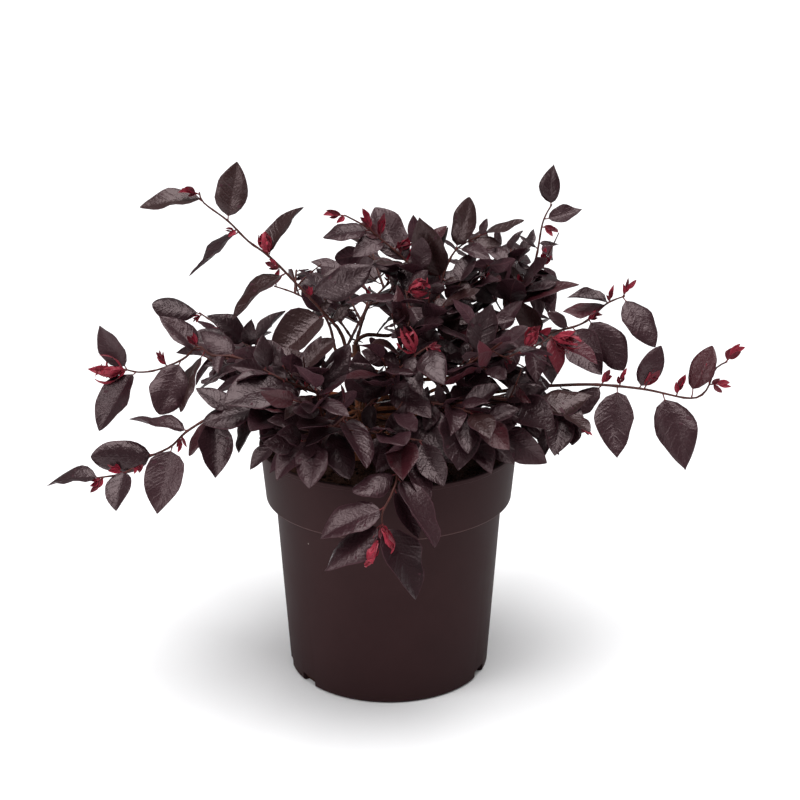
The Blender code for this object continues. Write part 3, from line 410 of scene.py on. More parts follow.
# Finer growth between the rule's twigs
FINE_GAP = 19 * MM
FINE_REACH = (13 * MM, 24 * MM)
FINE_LEAF = 0.92
FINE_RADIUS = 0.6 * MM
FINE_TIP_RADIUS = 0.4 * MM
LIMB_POINTS = 34
LIMB_SIDES = 7

# How leaves vary as they show: rolls, waves and twists in radians, and the rest in shares of
# their own length or width
LEAF_ROLL = 0.28
SLIMNESS = (0.86, 1.04)
BELLY = (0.55, 0.8)
POINT = (0.66, 1.1)
EDGE_NOTCH = (0.01, 0.07)
EDGE_WAVES = (8, 17)
SIDE_WIDTH = (0.9, 1.05)
BOW = 0.07
EDGE_ARCH = (-0.15, 0.55)
EXTRA_FOLD = 0.45
RIPPLE_WAVES = (7, 13)
RIPPLE_DEPTH = (0.008, 0.05)
TWIST = 0.55
TWIST_CENTRE = 0.35
SAG = (-0.05, 0.02)
TIP_HANG = 0.1
TIP_START = 0.72

# Stems and twigs as they show
LIMB_STEP = 2.2 * MM
TWIG_KNOTS = 9 * MM
STEM_KNOTS = 11 * MM
KNOT_WIDTH = 1.1 * MM
KNOT_SWELL = 0.28
LIMB_UNEVEN = 0.06
PETIOLE_SIDES = 5
PETIOLE_TAPER = (1.15, 0.85, 0.8)
PETIOLE_OVERLAP = 0.02
PETIOLE_SAG = 0.08

# Petals and young leaves
PETALS = 15
PETAL_ROWS = 8
PETAL_LENGTH = 19 * MM
PETAL_WIDTH = 2.7 * MM
PETAL_THICKNESS = 0.09
PETAL_TWIST = 0.7
PETAL_LEAN = (0.6, 1.35)
PETAL_CURLS = (-3.1, -2.7, -2.4, -2.0, -1.4)
FULL_HEAD = 1.7
HANGING = -0.5
BUD_LEAN = (0.4, 0.7)
BUD_CURL = (-1.5, -1.0)
BUD_PETAL = 1.8
HEAD_STALKS = (2 * MM, 10 * MM)
HEAD_LEAVES = 2
YOUNG_LEAVES = 4
YOUNG_SPREAD = (0.2, 0.75)
YOUNG_SHARE = (0.42, 0.78)
YOUNG_RATIO = (0.34, 0.5)
YOUNG_DROOP = (-0.3, 0.15)
YOUNG_FOLD = 0.6
YOUNG_WAVE = 0.6
SPRIG = 0.36
SPRIG_LEAN = 15

# Pot and peat as they show
POT_STEPS = 144
POT_CREASE = 32
PEAT_STEPS = 96
PEAT_RINGS = 26
PEAT_CROWN = 2.5 * MM
PEAT_LUMPS = ((14 * MM, 2.6 * MM), (4.5 * MM, 1.7 * MM))
PEAT_CREASE = 50
CRUMBS = 700
CRUMB_SIZE = (0.7 * MM, 2.2 * MM)

# Trunk and boughs as they show
TRUNK_RINGS = 34
TRUNK_SIDES = 40
TRUNK_RELIEF = 0.9 * MM
BOUGH_POINTS = 30
BOUGH_OVERLAP = 2.2 * MM
BOUGH_RELIEF = 0.45 * MM
BARK_RIDGES = ((4.2 * MM, 1.0), (1.6 * MM, 0.6))
BARK_CREASE = 50
YOUNG_WOOD = (195 * MM, 225 * MM)

# Looks: the sizes of clouds, flecks, grains and puckers, and where flecks and veins begin
PLASTIC_CLOUD = 30 * MM
PLASTIC_GRAIN = 1.1 * MM
FLECK_GAP = 16 * MM
FLECK_EDGE = (0.024, 0.034)
UNFLECKED = 0.82
# The band round the collar's lower edge where a highlight is painted: full up to the first distance, gone
# at the second
COLLAR_HIGHLIGHT_BAND = (0.25 * MM, 0.9 * MM)
PEAT_CRUMB = 3.5 * MM
PEAT_CELL = 2.8 * MM
TRUNK_GRAIN = 3.5 * MM
TWIG_GRAIN = 2.2 * MM
STALK_GRAIN = 1.6 * MM
LEAF_CLOUD = 7 * MM
LEAF_MOTTLE = 0.2
LEAF_GRAIN = 1.6 * MM
PUCKER = 6 * MM
VEIN_LEAN = -0.24
MIDRIB_WIDTH = 0.09
LEAF_CREASE = 75
PETAL_CLOUD = 4 * MM
WAX_TINT = "#f4dcde"

# Coats of the leaves: name, colour, roughness, gloss and relief of the veins
LEAF_COATS = (
    ("waxy leaf, black plum", "#261519", 0.28, 0.5, 0.3),
    ("waxy leaf, smoked plum", "#2f1a1f", 0.33, 0.5, 0.3),
    ("waxy leaf, umber", "#2b1818", 0.29, 0.5, 0.3),
    ("waxy leaf, young burgundy", "#3c171d", 0.34, 0.5, 0.3),
    ("downy underside, dull plum", "#3d232a", 0.55, 0.22, -0.5),
    ("downy underside, wine", "#4c1d26", 0.55, 0.22, -0.5),
    # The margin's lighter rose grey is a painted highlight, where the blade's thin edge would catch the
    # light
    ("leaf margin, worn rose grey", "#3f272d", 0.5, 0.3, 0.0),
    ("midrib from below, dull rose", "#4f3035", 0.55, 0.3, 0.0),
    ("large young leaf, crimson", "#591420", 0.36, 0.5, 0.3),
    ("large young leaf, rose brown", "#4b2029", 0.36, 0.5, 0.3),
)
YOUNG_COATS = (
    ("young leaf, crimson", "#881d31", 0.42, 0.4, 0.3),
    ("young leaf, dark crimson", "#5a1421", 0.42, 0.4, 0.3),
)

# The coats of a blade's upper side, underside, margin and midrib, for each tint of a leaf
LEAF_SIDES = ((0, 4, 6, 7), (1, 4, 6, 7), (2, 4, 6, 7), (3, 5, 6, 7))
YOUNG_SIDES = ((0, 1, 0, 0), (1, 0, 0, 0))

# The petals' coat, which follows the coats of young leaves, and the two coats of twigs
PETAL = len(YOUNG_COATS)
WOODY, STALK = range(2)

# How often a spray has each tint, and how often the odd leaves in it do
SPRAY_WEIGHTS = (5, 4, 1.6)
ODD_WEIGHTS = (4, 4, 1.5, 1.5)
OWN_SHARE = 0.62

# The large young leaves of the table: the coat of each by its tip
CRIMSON, ROSE_BROWN = 8, 9
CRIMSON_TIPS = {(132, 32): CRIMSON, (157, 38): ROSE_BROWN, (134, 73): ROSE_BROWN}

# Parts of a blade's faces
BLADE, EDGE, RIB = range(3)

# Studio: a camera whose focal length was read off in pixels of a picture this wide
SENSOR_WIDTH = 36
PICTURE_PIXELS = 800
FOCAL_PIXELS = 1622
LENS = SENSOR_WIDTH * FOCAL_PIXELS / PICTURE_PIXELS
FLOOR_SIZE = 16
KEY_PLACE = (-1.05, -0.75, 1.0)
KEY_AIM = (0, 0, 0.2)
KEY_SIZE = 0.8
KEY_POWER = 8.5
OVERHEAD_POWER = 3.4
OVERHEAD_SPREAD = math.radians(54)
OVERHEAD_TILT = (math.radians(2), math.radians(4), 0)
SKY = 0.26


def seen(across, aloft, nearer):
    """The place of what shows so many mm right of, above and in front of the trunk's foot."""
    away = CENTRE - EYE
    depth = -away.dot(TO_EYE)
    side = away.dot(ACROSS) + across * MM
    height = away.dot(ALOFT) + aloft * MM
    sight = ACROSS * side + ALOFT * height - TO_EYE * depth
    return EYE + sight * ((depth - nearer * MM) / depth)


def in_open_sky(point):
    """True where a point shows in a patch of sky from the viewpoint."""
    sight, middle = point - EYE, CENTRE - EYE
    share = middle.dot(TO_EYE) / sight.dot(TO_EYE)
    across = (sight.dot(ACROSS) * share - middle.dot(ACROSS)) / MM
    aloft = (sight.dot(ALOFT) * share - middle.dot(ALOFT)) / MM
    return any(math.hypot(across - x, aloft - y) < radius for x, y, radius in OPEN_SKY)


def seen_direction(angle, lean):
    """The direction that shows at this angle from the right, leaning to the eye."""
    turn, tip = math.radians(angle), math.radians(lean)
    flat = ACROSS * math.cos(turn) + ALOFT * math.sin(turn)
    return flat * math.cos(tip) + TO_EYE * math.sin(tip)


def far_stem(angle, reach, rise):
    """A stem that arches away from the trunk at this compass angle."""
    out = Vector((math.cos(math.radians(angle)), math.sin(math.radians(angle)), 0))
    side = out.cross(UP)
    points = []
    for step in range(5):
        part = 0.3 + 0.7 * step / 4
        lift = rise * (1.5 * part - 0.5 * part ** 3) + 26
        sway = 9 * math.sin(part * 5 + angle)
        points.append(CENTRE + (out * reach * part + side * sway + UP * lift) * MM)
    return points


def smooth(points, count):
    """Points evenly spaced along a rounded curve through the given ones."""
    fine = []
    for i in range(len(points) - 1):
        before = points[max(i - 1, 0)]
        here, there = points[i], points[i + 1]
        after = points[min(i + 2, len(points) - 1)]
        for step in range(8):
            t = step / 8
            bend = (there - before) * 0.5 * t + (2 * before - 5 * here + 4 * there - after) * 0.5 * t ** 2
            fine.append(here + bend + (3 * here - before - 3 * there + after) * 0.5 * t ** 3)
    fine.append(points[-1])
    return [along(fine, i / (count - 1)) for i in range(count)]


def along(points, part):
    """The point at this part of a polyline's length."""
    lengths = [(b - a).length for a, b in zip(points, points[1:])]
    left = part * sum(lengths)
    for start, end, length in zip(points, points[1:], lengths):
        if left <= length:
            return start.lerp(end, left / length)
        left -= length
    return points[-1].copy()


def line_length(points):
    return sum((b - a).length for a, b in zip(points, points[1:]))


def heading(points, part):
    return (along(points, min(part + 0.08, 1)) - along(points, max(part - 0.08, 0))).normalized()


def tube(points, radii, sides):
    """Corners and faces of a closed tube with these radii."""
    corners, faces = [], []
    side = heading(points, 0).orthogonal().normalized()
    for i, (point, radius) in enumerate(zip(points, radii)):
        ahead = points[min(i + 1, len(points) - 1)] - points[max(i - 1, 0)]
        ahead.normalize()
        side = (side - ahead * side.dot(ahead)).normalized()
        for k in range(sides):
            turn = Quaternion(ahead, math.tau * k / sides)
            corners.append(point + turn @ side * radius)
    for i in range(len(points) - 1):
        for k in range(sides):
            a, b = i * sides + k, i * sides + (k + 1) % sides
            faces.append((a, b, b + sides, a + sides))
    faces.append(tuple(range(sides - 1, -1, -1)))
    last = (len(points) - 1) * sides
    faces.append(tuple(range(last, last + sides)))
    return corners, faces


def taper(first, last, count):
    return [first + (last - first) * i / (count - 1) for i in range(count)]


def trunk_axis(height):
    part = height / TRUNK_LENGTH
    return TRUNK_FOOT + TRUNK_LEAN * part ** 1.5 + UP * height


def trunk_radius(height):
    part = height / TRUNK_LENGTH
    flare = (FLARE_RADIUS - TRUNK_RADIUS) * math.exp(-height / (5 * MM))
    return TRUNK_RADIUS + (TIP_RADIUS - TRUNK_RADIUS) * part + flare


def trunk_lobes(height):
    return 0.2 * math.exp(-height / 6)


def bough_line(height, stem):
    """The axis of a bough, from the trunk's side to just short of its stem's foot."""
    start_axis = trunk_axis(height * MM)
    out = stem[0] - start_axis
    if height * MM >= TRUNK_LENGTH - 3 * MM:
        start = trunk_axis(TRUNK_LENGTH) + UP * GAP
        leave = UP
    else:
        leave = Vector((out.x, out.y, 0)).normalized()
        start = start_axis + leave * (trunk_radius(height * MM) * (1 + trunk_lobes(height)) + GAP)
    arrive = (stem[1] - stem[0]).normalized()
    end = stem[0] - arrive * GAP
    reach = (end - start).length
    straight = min(2 * MM, reach / 6)
    near, far = start + leave * straight, end - arrive * straight
    first = near + leave * reach * 0.28
    last = far - arrive * reach * 0.28
    points = [start]
    for i in range(4):
        t = i / 3
        s = 1 - t
        points.append(near * s ** 3 + first * 3 * s * s * t + last * 3 * s * t * t + far * t ** 3)
    return points + [end]


def rooted(points, part):
    """A leaf's root: inside the twig, and short of its tip."""
    return along(points, min(part, 1 - TIP_INSET / line_length(points)))


def leaf(root, direction, face, length, width, droop, fold):
    """A leaf as (root, direction, face, length, width, droop, fold), with its face square to it."""
    direction = direction.normalized()
    face = (face - direction * face.dot(direction)).normalized()
    root = root - direction * ROOT_DEPTH
    return root, direction, face, length, width, droop, fold


def leaf_shape(blade, grow=0.0, full=False):
    """Corners and faces of a closed leaf: its outline and a ridge point on each side."""
    root, direction, face, length, width, droop, fold = blade
    side = direction.cross(face)
    half = width / 2 + grow
    rows = ((0.27, 0.92), (0.64, 0.88)) if full else ((0.42, 1.0),)
    left, right = [], []
    for part, share in rows:
        middle = root + direction * length * part - face * droop * length * part ** 2
        lift = face * fold * half * share
        left.append(middle + side * half * share + lift)
        right.append(middle - side * half * share + lift)
    tip = root + direction * (length + grow) - face * droop * length
    middle = root + direction * length * 0.45 - face * droop * length * 0.2
    thick = LEAF_THICKNESS / 2 * length / LEAF_LENGTH + grow
    outline = [root - direction * grow] + left + [tip] + right[::-1]
    count = len(outline)
    corners = outline + [middle + face * thick, middle - face * thick]
    faces = [(k, (k + 1) % count, count) for k in range(count)]
    faces += [((k + 1) % count, k, count + 1) for k in range(count)]
    return corners, faces


def blocker(shape):
    corners, faces = shape
    return BVHTree.FromPolygons([tuple(c) for c in corners], faces), corners


def box_of(corners):
    low = Vector([min(c[i] for c in corners) for i in range(3)])
    high = Vector([max(c[i] for c in corners) for i in range(3)])
    return low, high


class Space:
    """What already stands in the plant's space, by owner."""

    def __init__(self):
        self.taken = []
        self.rooms = {}

    def add(self, owner, shape, kind):
        tree, corners = blocker(shape)
        self.taken.append((owner, kind, box_of(corners), tree))

    def free(self, owner, shape, own_leaves):
        """True where a shape meets nothing of another owner, nor its own leaves if told so."""
        tree, corners = blocker(shape)
        low, high = box_of(corners)
        for other, kind, (a, b), taken in self.taken:
            if other == owner and not (own_leaves and kind == "leaf"):
                continue
            if any(low[i] > b[i] or high[i] < a[i] for i in range(3)):
                continue
            if tree.overlap(taken):
                return False
        return True


def outer_part(blade):
    """The leaf without its root, to test it against leaves of the same shoot."""
    root, direction, face, length, width, droop, fold = blade
    start = root + direction * length * 0.3 - face * droop * length * 0.09
    onward = (direction - face * droop * 0.9).normalized()
    up = (face - onward * face.dot(onward)).normalized()
    return start, onward, up, length * 0.66, width * 0.9, droop * 0.3, fold


def fits(space, owner, blade):
    tip = blade[0] + blade[1] * blade[3]
    if tip.z < 60 * MM:
        return False
    if owner in space.rooms:
        low, high = space.rooms[owner]
        if any(not low[i] <= tip[i] <= high[i] for i in range(3)):
            return False
    whole = leaf_shape(blade, CLEARANCE, True)
    outer = leaf_shape(outer_part(blade), 0, True)
    return space.free(owner, whole, False) and space.free(owner, outer, True)


def shows_in_sky(blade):
    """True where the middle, a side or the tip of a leaf shows in open sky."""
    root, direction, face, length, width, droop, fold = blade
    middle = root + direction * length * 0.5 - face * droop * length * 0.25
    side = direction.cross(face) * width / 2
    tip = root + direction * length - face * droop * length
    return any(in_open_sky(point) for point in (middle, middle + side, middle - side, tip))


def place(space, owner, blade, rng, tries):
    """The leaf, or a near attitude of it that fits, or None."""
    root, direction, face, length, width, droop, fold = blade
    for attempt in range(tries):
        turn = Quaternion(direction, rng.uniform(-0.5, 0.5) * attempt)
        swing = Quaternion(face, rng.uniform(-0.16, 0.16) * attempt)
        nod = Quaternion(direction.cross(face), rng.uniform(-0.16, 0.16) * attempt)
        scale = 1 - 0.05 * attempt
        new = leaf(
            root + direction * ROOT_DEPTH, swing @ (nod @ direction), turn @ face,
            length * scale, width * scale, droop, fold,
        )
        if not shows_in_sky(new) and fits(space, owner, new):
            space.add(owner, leaf_shape(new, 0, True), "leaf")
            return new
    return None


def outline_leaf(points, row, rng, swing):
    """A leaf whose tip shows at a given place from the viewpoint, with its lean changed by a swing."""
    part, across, aloft, lean, turned = row
    root = rooted(points, part)
    near = (root - CENTRE).dot(TO_EYE) / MM
    rise = (seen(across, aloft, near) - root).length * math.tan(math.radians(lean + swing))
    reach = seen(across, aloft, near + rise / MM) - root
    length = reach.length
    direction = reach / length
    face = (TO_EYE - direction * TO_EYE.dot(direction)).normalized()
    upward = direction.cross(face)
    upward = upward if upward.z > 0 else -upward
    tilt = math.radians(turned)
    face = face * math.cos(tilt) + upward * math.sin(tilt)
    droop = rng.uniform(0.06, 0.2)
    direction = (direction + face * droop).normalized()
    ratio = OUTLINE_RATIO + rng.uniform(-0.03, 0.03)
    return leaf(root, direction, face, length, length * ratio, droop, rng.uniform(0.1, 0.3))


def place_outline(space, owner, points, row, rng):
    """The outline leaf at the first lean that fits, or None."""
    for swing in LEAN_SWINGS:
        blade = outline_leaf(points, row, rng, swing)
        if fits(space, owner, blade):
            space.add(owner, leaf_shape(blade, 0, True), "leaf")
            return blade
    return None


def level_side(ahead):
    """The level direction square to a stem, or across the view where the stem stands upright."""
    side = ahead.cross(UP)
    return side.normalized() if side.length >= UPRIGHT else ACROSS.copy()


def rule_leaf(points, part, side, size, rng):
    """A leaf by the plant's own rule: alternate, spreading, face up and a little drooping."""
    ahead = heading(points, part)
    across = Quaternion(ahead, rng.uniform(-0.6, 0.6)) @ level_side(ahead)
    spread = math.radians(rng.uniform(38, 66))
    if part > 0.97:
        spread *= 0.35
    direction = ahead * math.cos(spread) + across * side * math.sin(spread) + UP * rng.uniform(-0.3, 0.25)
    face = UP + ahead * rng.uniform(-0.4, 0.2) + across * rng.uniform(-0.45, 0.45)
    length = LEAF_LENGTH * size * rng.uniform(0.78, 1.14)
    ratio = LEAF_RATIO * rng.uniform(0.9, 1.1)
    droop, fold = rng.uniform(0.08, 0.26), rng.uniform(0.1, 0.3)
    return leaf(rooted(points, part), direction, face, length, length * ratio, droop, fold)


def tuft(points, row):
    """A few small young leaves round one direction."""
    part, angle, size = row
    root = rooted(points, part)
    ahead = seen_direction(angle, 15)
    blades = []
    for swing, share in BLADES[size > FLOWER_SIZE]:
        direction = Quaternion(TO_EYE, swing) @ ahead
        length = TUFT_LENGTH * size * share
        blades.append(leaf(root, direction, TO_EYE + UP * 0.5, length, length * 0.42, 0.1, 0.3))
    return blades


def grow_shoot(name, shoot, space):
    """The stem, twigs and blades of one shoot, each clear of all that stands already."""
    rng = random.Random(name + str(SEED))
    stem = shoot["points"]
    grown = dict(stem=stem, twigs=[], fine=[], sprays=[], crimson=[], tufted=[])
    outline = []
    for row in shoot["leaves"]:
        blade = place_outline(space, name, stem, row, rng)
        if blade:
            outline.append(blade)
            if row[1:3] in CRIMSON_TIPS:
                grown["crimson"].append((blade, CRIMSON_TIPS[row[1:3]]))
    grown["sprays"].append((stem, outline))
    for row in shoot["tufts"]:
        for blade in tuft(stem, row):
            if space.free(name, leaf_shape(blade, CLEARANCE), False):
                space.add(name, leaf_shape(blade), "leaf")
                if row not in grown["tufted"]:
                    grown["tufted"].append(row)
    for k in range(shoot["twigs"]):
        twig = grow_twig(name, stem, k, shoot["twigs"], shoot["filled"], rng, space)
        if twig:
            grown["twigs"].append(twig)
    for line in grown["twigs"]:
        grown["sprays"].append((line, leaves_along(name, line, 1.0, LEAF_GAP * 0.85, 0.9, rng, space)))
    leaves = leaves_along(name, stem, shoot["filled"], LEAF_GAP * 0.9, 1.0, rng, space)
    grown["sprays"].append((stem, leaves))
    return grown


def grow_twig(name, stem, k, count, reach_of_twigs, rng, space):
    """A twig on alternate sides of the stem that meets nothing of another shoot."""
    part = (k + 0.4) / (count + 0.4) * reach_of_twigs
    for attempt in range(6):
        ahead = heading(stem, part)
        across = Quaternion(ahead, rng.uniform(-0.9, 0.9)) @ level_side(ahead)
        side = 1 if (k + attempt) % 2 else -1
        spread = math.radians(rng.uniform(35, 60))
        start = along(stem, part)
        direction = ahead * math.cos(spread) + across * side * math.sin(spread) + UP * rng.uniform(0, 0.35)
        reach = rng.uniform(28, 46) * MM * (1.1 - 0.4 * part)
        bend = across * side * rng.uniform(-0.2, 0.1) * reach
        points = [start, start + direction * reach * 0.5 + bend * 0.3, start + direction * reach + bend]
        shape = tube(points, [TWIG_RADIUS + CLEARANCE] * 3, 4)
        if not any(in_open_sky(point) for point in points[1:]) and space.free(name, shape, False):
            space.add(name, tube(points, taper(TWIG_RADIUS, TWIG_TIP_RADIUS, 3), 3), "limb")
            return points
    return None


def leaves_along(name, line, filled, gap, size, rng, space):
    """Alternate leaves along the first part of a stem or twig, wherever one fits."""
    count = max(1, round(filled * line_length(line) / gap))
    side = rng.choice((-1, 1))
    leaves = []
    if not filled:
        return leaves
    for i in range(count + 1):
        part = 0.1 + (filled - 0.1) * i / count
        young = 1 - 0.3 * part
        blade = place(space, name, rule_leaf(line, part, side, size * young * 1.1, rng), rng, 7)
        side = -side
        if blade:
            leaves.append(blade)
    return leaves


def pot_profile():
    """Radius and height down the outside, along the underside and up the inside."""
    shoulder = POT_HEIGHT - COLLAR_HEIGHT
    return [
        (RIM_RADIUS, POT_HEIGHT),
        (RIM_RADIUS - 0.1 * MM, POT_HEIGHT - LIP),
        (RIM_RADIUS - 0.9 * MM, POT_HEIGHT - LIP - 0.8 * MM),
        (COLLAR_RADIUS, shoulder + 0.8 * MM),
        (COLLAR_RADIUS - 0.8 * MM, shoulder),
        (BODY_TOP_RADIUS, shoulder - 0.6 * MM),
        (BASE_RADIUS, 2.2 * MM),
        (BASE_RADIUS - 2.2 * MM, 0),
        (0, 0),
    ]


def pot_inside():
    shoulder = POT_HEIGHT - COLLAR_HEIGHT
    return [
        (0, FLOOR),
        (BASE_RADIUS - WALL, FLOOR),
        (BODY_TOP_RADIUS - WALL, shoulder - 1.4 * MM),
        (COLLAR_RADIUS - WALL - 0.6 * MM, shoulder + 2.4 * MM),
        (RIM_RADIUS - WALL - 0.4 * MM, POT_HEIGHT),
    ]


def inside_radius(height):
    """The pot's inner radius at this height."""
    rows = pot_inside()[1:]
    for (r0, z0), (r1, z1) in zip(rows, rows[1:]):
        if z0 <= height <= z1:
            return r0 + (r1 - r0) * (height - z0) / (z1 - z0)
    return rows[-1][0]


def turned(profile, sides):
    """Corners and faces of a solid turned from a profile that starts and ends on the axis."""
    corners, faces = [], []
    rings = []
    for radius, height in profile:
        if radius == 0:
            rings.append([len(corners)] * sides)
            corners.append(Vector((0, 0, height)))
            continue
        rings.append([len(corners) + k for k in range(sides)])
        for k in range(sides):
            turn = math.tau * k / sides
            corners.append(Vector((radius * math.cos(turn), radius * math.sin(turn), height)))
    for upper, lower in zip(rings, rings[1:]):
        for k in range(sides):
            quad = [upper[k], lower[k], lower[(k + 1) % sides], upper[(k + 1) % sides]]
            kept = tuple(dict.fromkeys(quad))
            if len(kept) > 2:
                faces.append(kept)
    return corners, faces


def plan():
    """All shoots as stems, boughs, twigs and blades, none of which meets another's."""
    space = Space()
    space.add("pot", turned(pot_profile(), POT_SIDES), "limb")
    peat = [(0, SOIL_TOP + 1 * MM), (80 * MM, SOIL_TOP + 1 * MM), (0, SOIL_TOP - 20 * MM)]
    space.add("soil", turned(peat, 24), "limb")
    heights = [TRUNK_LENGTH * i / 8 for i in range(9)]
    trunk = tube([trunk_axis(h) for h in heights], [trunk_radius(h) * 1.1 for h in heights], 10)
    space.add("trunk", trunk, "limb")
    shoots = {}
    for name, row in SHOOTS.items():
        fine = [seen(*spot) for spot in row["stem"]]
        shoots[name] = dict(row, points=smooth(fine, STEM_POINTS), fine_points=fine)
    for name, (height, angle, reach, rise, twigs) in FAR_SHOOTS.items():
        fine = far_stem(angle, reach, rise)
        shoots[name] = dict(
            bough=height, points=smooth(fine, STEM_POINTS), fine_points=fine, leaves=[],
            tufts=FAR_TUFTS, twigs=twigs, filled=1.0,
        )
    for name, shoot in shoots.items():
        shoot["line"] = bough_line(shoot["bough"], shoot["points"])
        shoot["radii"] = taper(BOUGH_RADIUS, STEM_RADIUS, len(shoot["line"]))
        space.add("bough_" + name, tube(shoot["line"], shoot["radii"], 6), "limb")
        space.add(name, tube(shoot["points"], taper(STEM_RADIUS, STEM_TIP_RADIUS, STEM_POINTS), 3), "limb")
    for name, shoot in shoots.items():
        shoot["grown"] = grow_shoot(name, shoot, space)
    for name, shoot in shoots.items():
        grow_finer(name, shoot, space)
    return shoots


def nearest(points, spot):
    """The point of a line that is nearest to a spot."""
    best = None
    for a, b in zip(points, points[1:]):
        step = b - a
        part = max(0, min(1, (spot - a).dot(step) / step.length_squared))
        foot = a + step * part
        if best is None or (foot - spot).length < (best - spot).length:
            best = foot
    return best


def fine_twig(name, line, part, rng, space):
    """A thin twig at this part of a line, or None where it meets another shoot."""
    ahead = heading(line, part)
    across = level_side(ahead)
    for attempt in range(6):
        out = Quaternion(ahead, rng.uniform(-math.pi, math.pi)) @ across
        spread = math.radians(rng.uniform(35, 65))
        start = along(line, part)
        direction = ahead * math.cos(spread) + out * math.sin(spread) + UP * rng.uniform(0, 0.3)
        reach = rng.uniform(*FINE_REACH)
        bend = UP * rng.uniform(-0.1, 0.25) * reach
        points = [start, start + direction * reach * 0.5 - bend * 0.2, start + direction * reach + bend]
        if any(in_open_sky(point) for point in points[1:]):
            continue
        if space.free(name, tube(points, [TWIG_RADIUS] * 3, 4), False):
            space.add(name, tube(points, [TWIG_RADIUS] * 3, 3), "limb")
            return points
    return None


def grow_finer(name, shoot, space):
    """Thin twigs with smaller leaves between the twigs of the rule, inside the mass's own reach."""
    rng = random.Random(name + "finer")
    grown = shoot["grown"]
    space.rooms[name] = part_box(name)
    lines = [(grown["stem"], shoot["filled"])] + [(twig, 0.85) for twig in grown["twigs"]]
    for line, filled in lines:
        count = round(filled * line_length(line) / FINE_GAP)
        for k in range(count):
            part = filled * (k + rng.uniform(0.25, 0.75)) / count
            twig = fine_twig(name, line, part, rng, space)
            if twig:
                grown["fine"].append((line, twig))
                leaves = leaves_along(name, twig, 1.0, LEAF_GAP * 0.55, FINE_LEAF, rng, space)
                grown["sprays"].append((twig, leaves))


class Heap:
    """Many small shapes that become one mesh: corners, faces, a coat for each face, places in it."""

    def __init__(self):
        self.corners, self.faces, self.coats, self.places = [], [], [], []

    def add(self, corners, faces, coats, places=None):
        first = len(self.corners)
        self.corners += [tuple(corner) for corner in corners]
        self.faces += [tuple(first + k for k in face) for face in faces]
        self.coats += coats if isinstance(coats, list) else [coats] * len(faces)
        self.places += places or [(0.5, 0.5)] * len(corners)

    def piece(self, name, coats):
        """The heap as one object, smooth but for its sharp edges."""
        mesh = bpy.data.meshes.new(name)
        mesh.from_pydata(self.corners, [], self.faces)
        for coat in coats:
            mesh.materials.append(coat)
        mesh.polygons.foreach_set("material_index", self.coats)
        layer = mesh.uv_layers.new(name="blade")
        owners = np.empty(len(mesh.loops), dtype=int)
        mesh.loops.foreach_get("vertex_index", owners)
        layer.data.foreach_set("uv", np.array(self.places)[owners].ravel())
        obj = bpy.data.objects.new(name, mesh)
        bpy.context.scene.collection.objects.link(obj)
        soften(obj, LEAF_CREASE)
        return obj


def pick(*objs):
    """Selects these objects and nothing else, and makes the first one active."""
    bpy.ops.object.select_all(action="DESELECT")
    for obj in objs:
        obj.select_set(True)
    bpy.context.view_layer.objects.active = objs[0]


def soften(obj, crease):
    """Shades an object smooth but for edges sharper than this many degrees."""
    pick(obj)
    bpy.ops.object.shade_smooth_by_angle(angle=math.radians(crease))


def blade_template():
    """A blade's corners as across and along in parts, its relief, and the faces of both sides."""
    rows, columns = len(BLADE_ROWS), len(BLADE_COLUMNS)
    part = np.array(BLADE_ROWS)[:, None]
    across = np.array(BLADE_COLUMNS)[None, :] + part * 0
    along_blade = part + VEIN_SLANT * np.abs(across) * 4 * part * (1 - part)
    odd = np.where(np.arange(rows) % 2, 1.0, -1.0)[:, None]
    relief = odd * np.sin(math.pi * part) * (1 - (2 * np.abs(across) - 1) ** 2)
    under = {}
    for r in range(1, rows - 1):
        for c in range(1, columns - 1):
            under[r, c] = rows * columns + len(under)
    upper_faces, under_faces = [], []
    for r in range(rows - 1):
        for c in range(columns - 1):
            spots = [(r, c), (r, c + 1), (r + 1, c + 1), (r + 1, c)]
            upper_faces.append(tuple(i * columns + j for i, j in spots))
            under_faces.append(tuple(under.get((i, j), i * columns + j) for i, j in spots[::-1]))
    inner = [i * columns + j for i, j in under]
    strips = [EDGE] + [BLADE] * (columns - 3) + [EDGE]
    strips[columns // 2 - 1] = RIB
    bands = strips * (rows - 1)
    return across.ravel(), along_blade.ravel(), relief.ravel(), inner, upper_faces, under_faces, bands


TEMPLATE = blade_template()


def width_share(part, belly, point):
    """How wide a blade is at a part of its length: rounded at its base, pointed at its tip."""
    peak = belly / (belly + point)
    most = peak ** belly * (1 - peak) ** point
    return np.maximum(part ** belly * (1 - part) ** point / most, 0.03)


def half_widths(across, part, width, rng):
    """Half the width of a blade at each of its corners, a little uneven along both edges."""
    slim = rng.uniform(*SLIMNESS) * width / 2
    half = slim * width_share(part, rng.uniform(*BELLY), rng.uniform(*POINT))
    for sign in (-1, 1):
        notched = 1 + rng.uniform(*EDGE_NOTCH) * np.sin(part * rng.uniform(*EDGE_WAVES) + rng.uniform(0, 6))
        half = np.where(across * sign > 0, half * notched * rng.uniform(*SIDE_WIDTH), half)
    return half


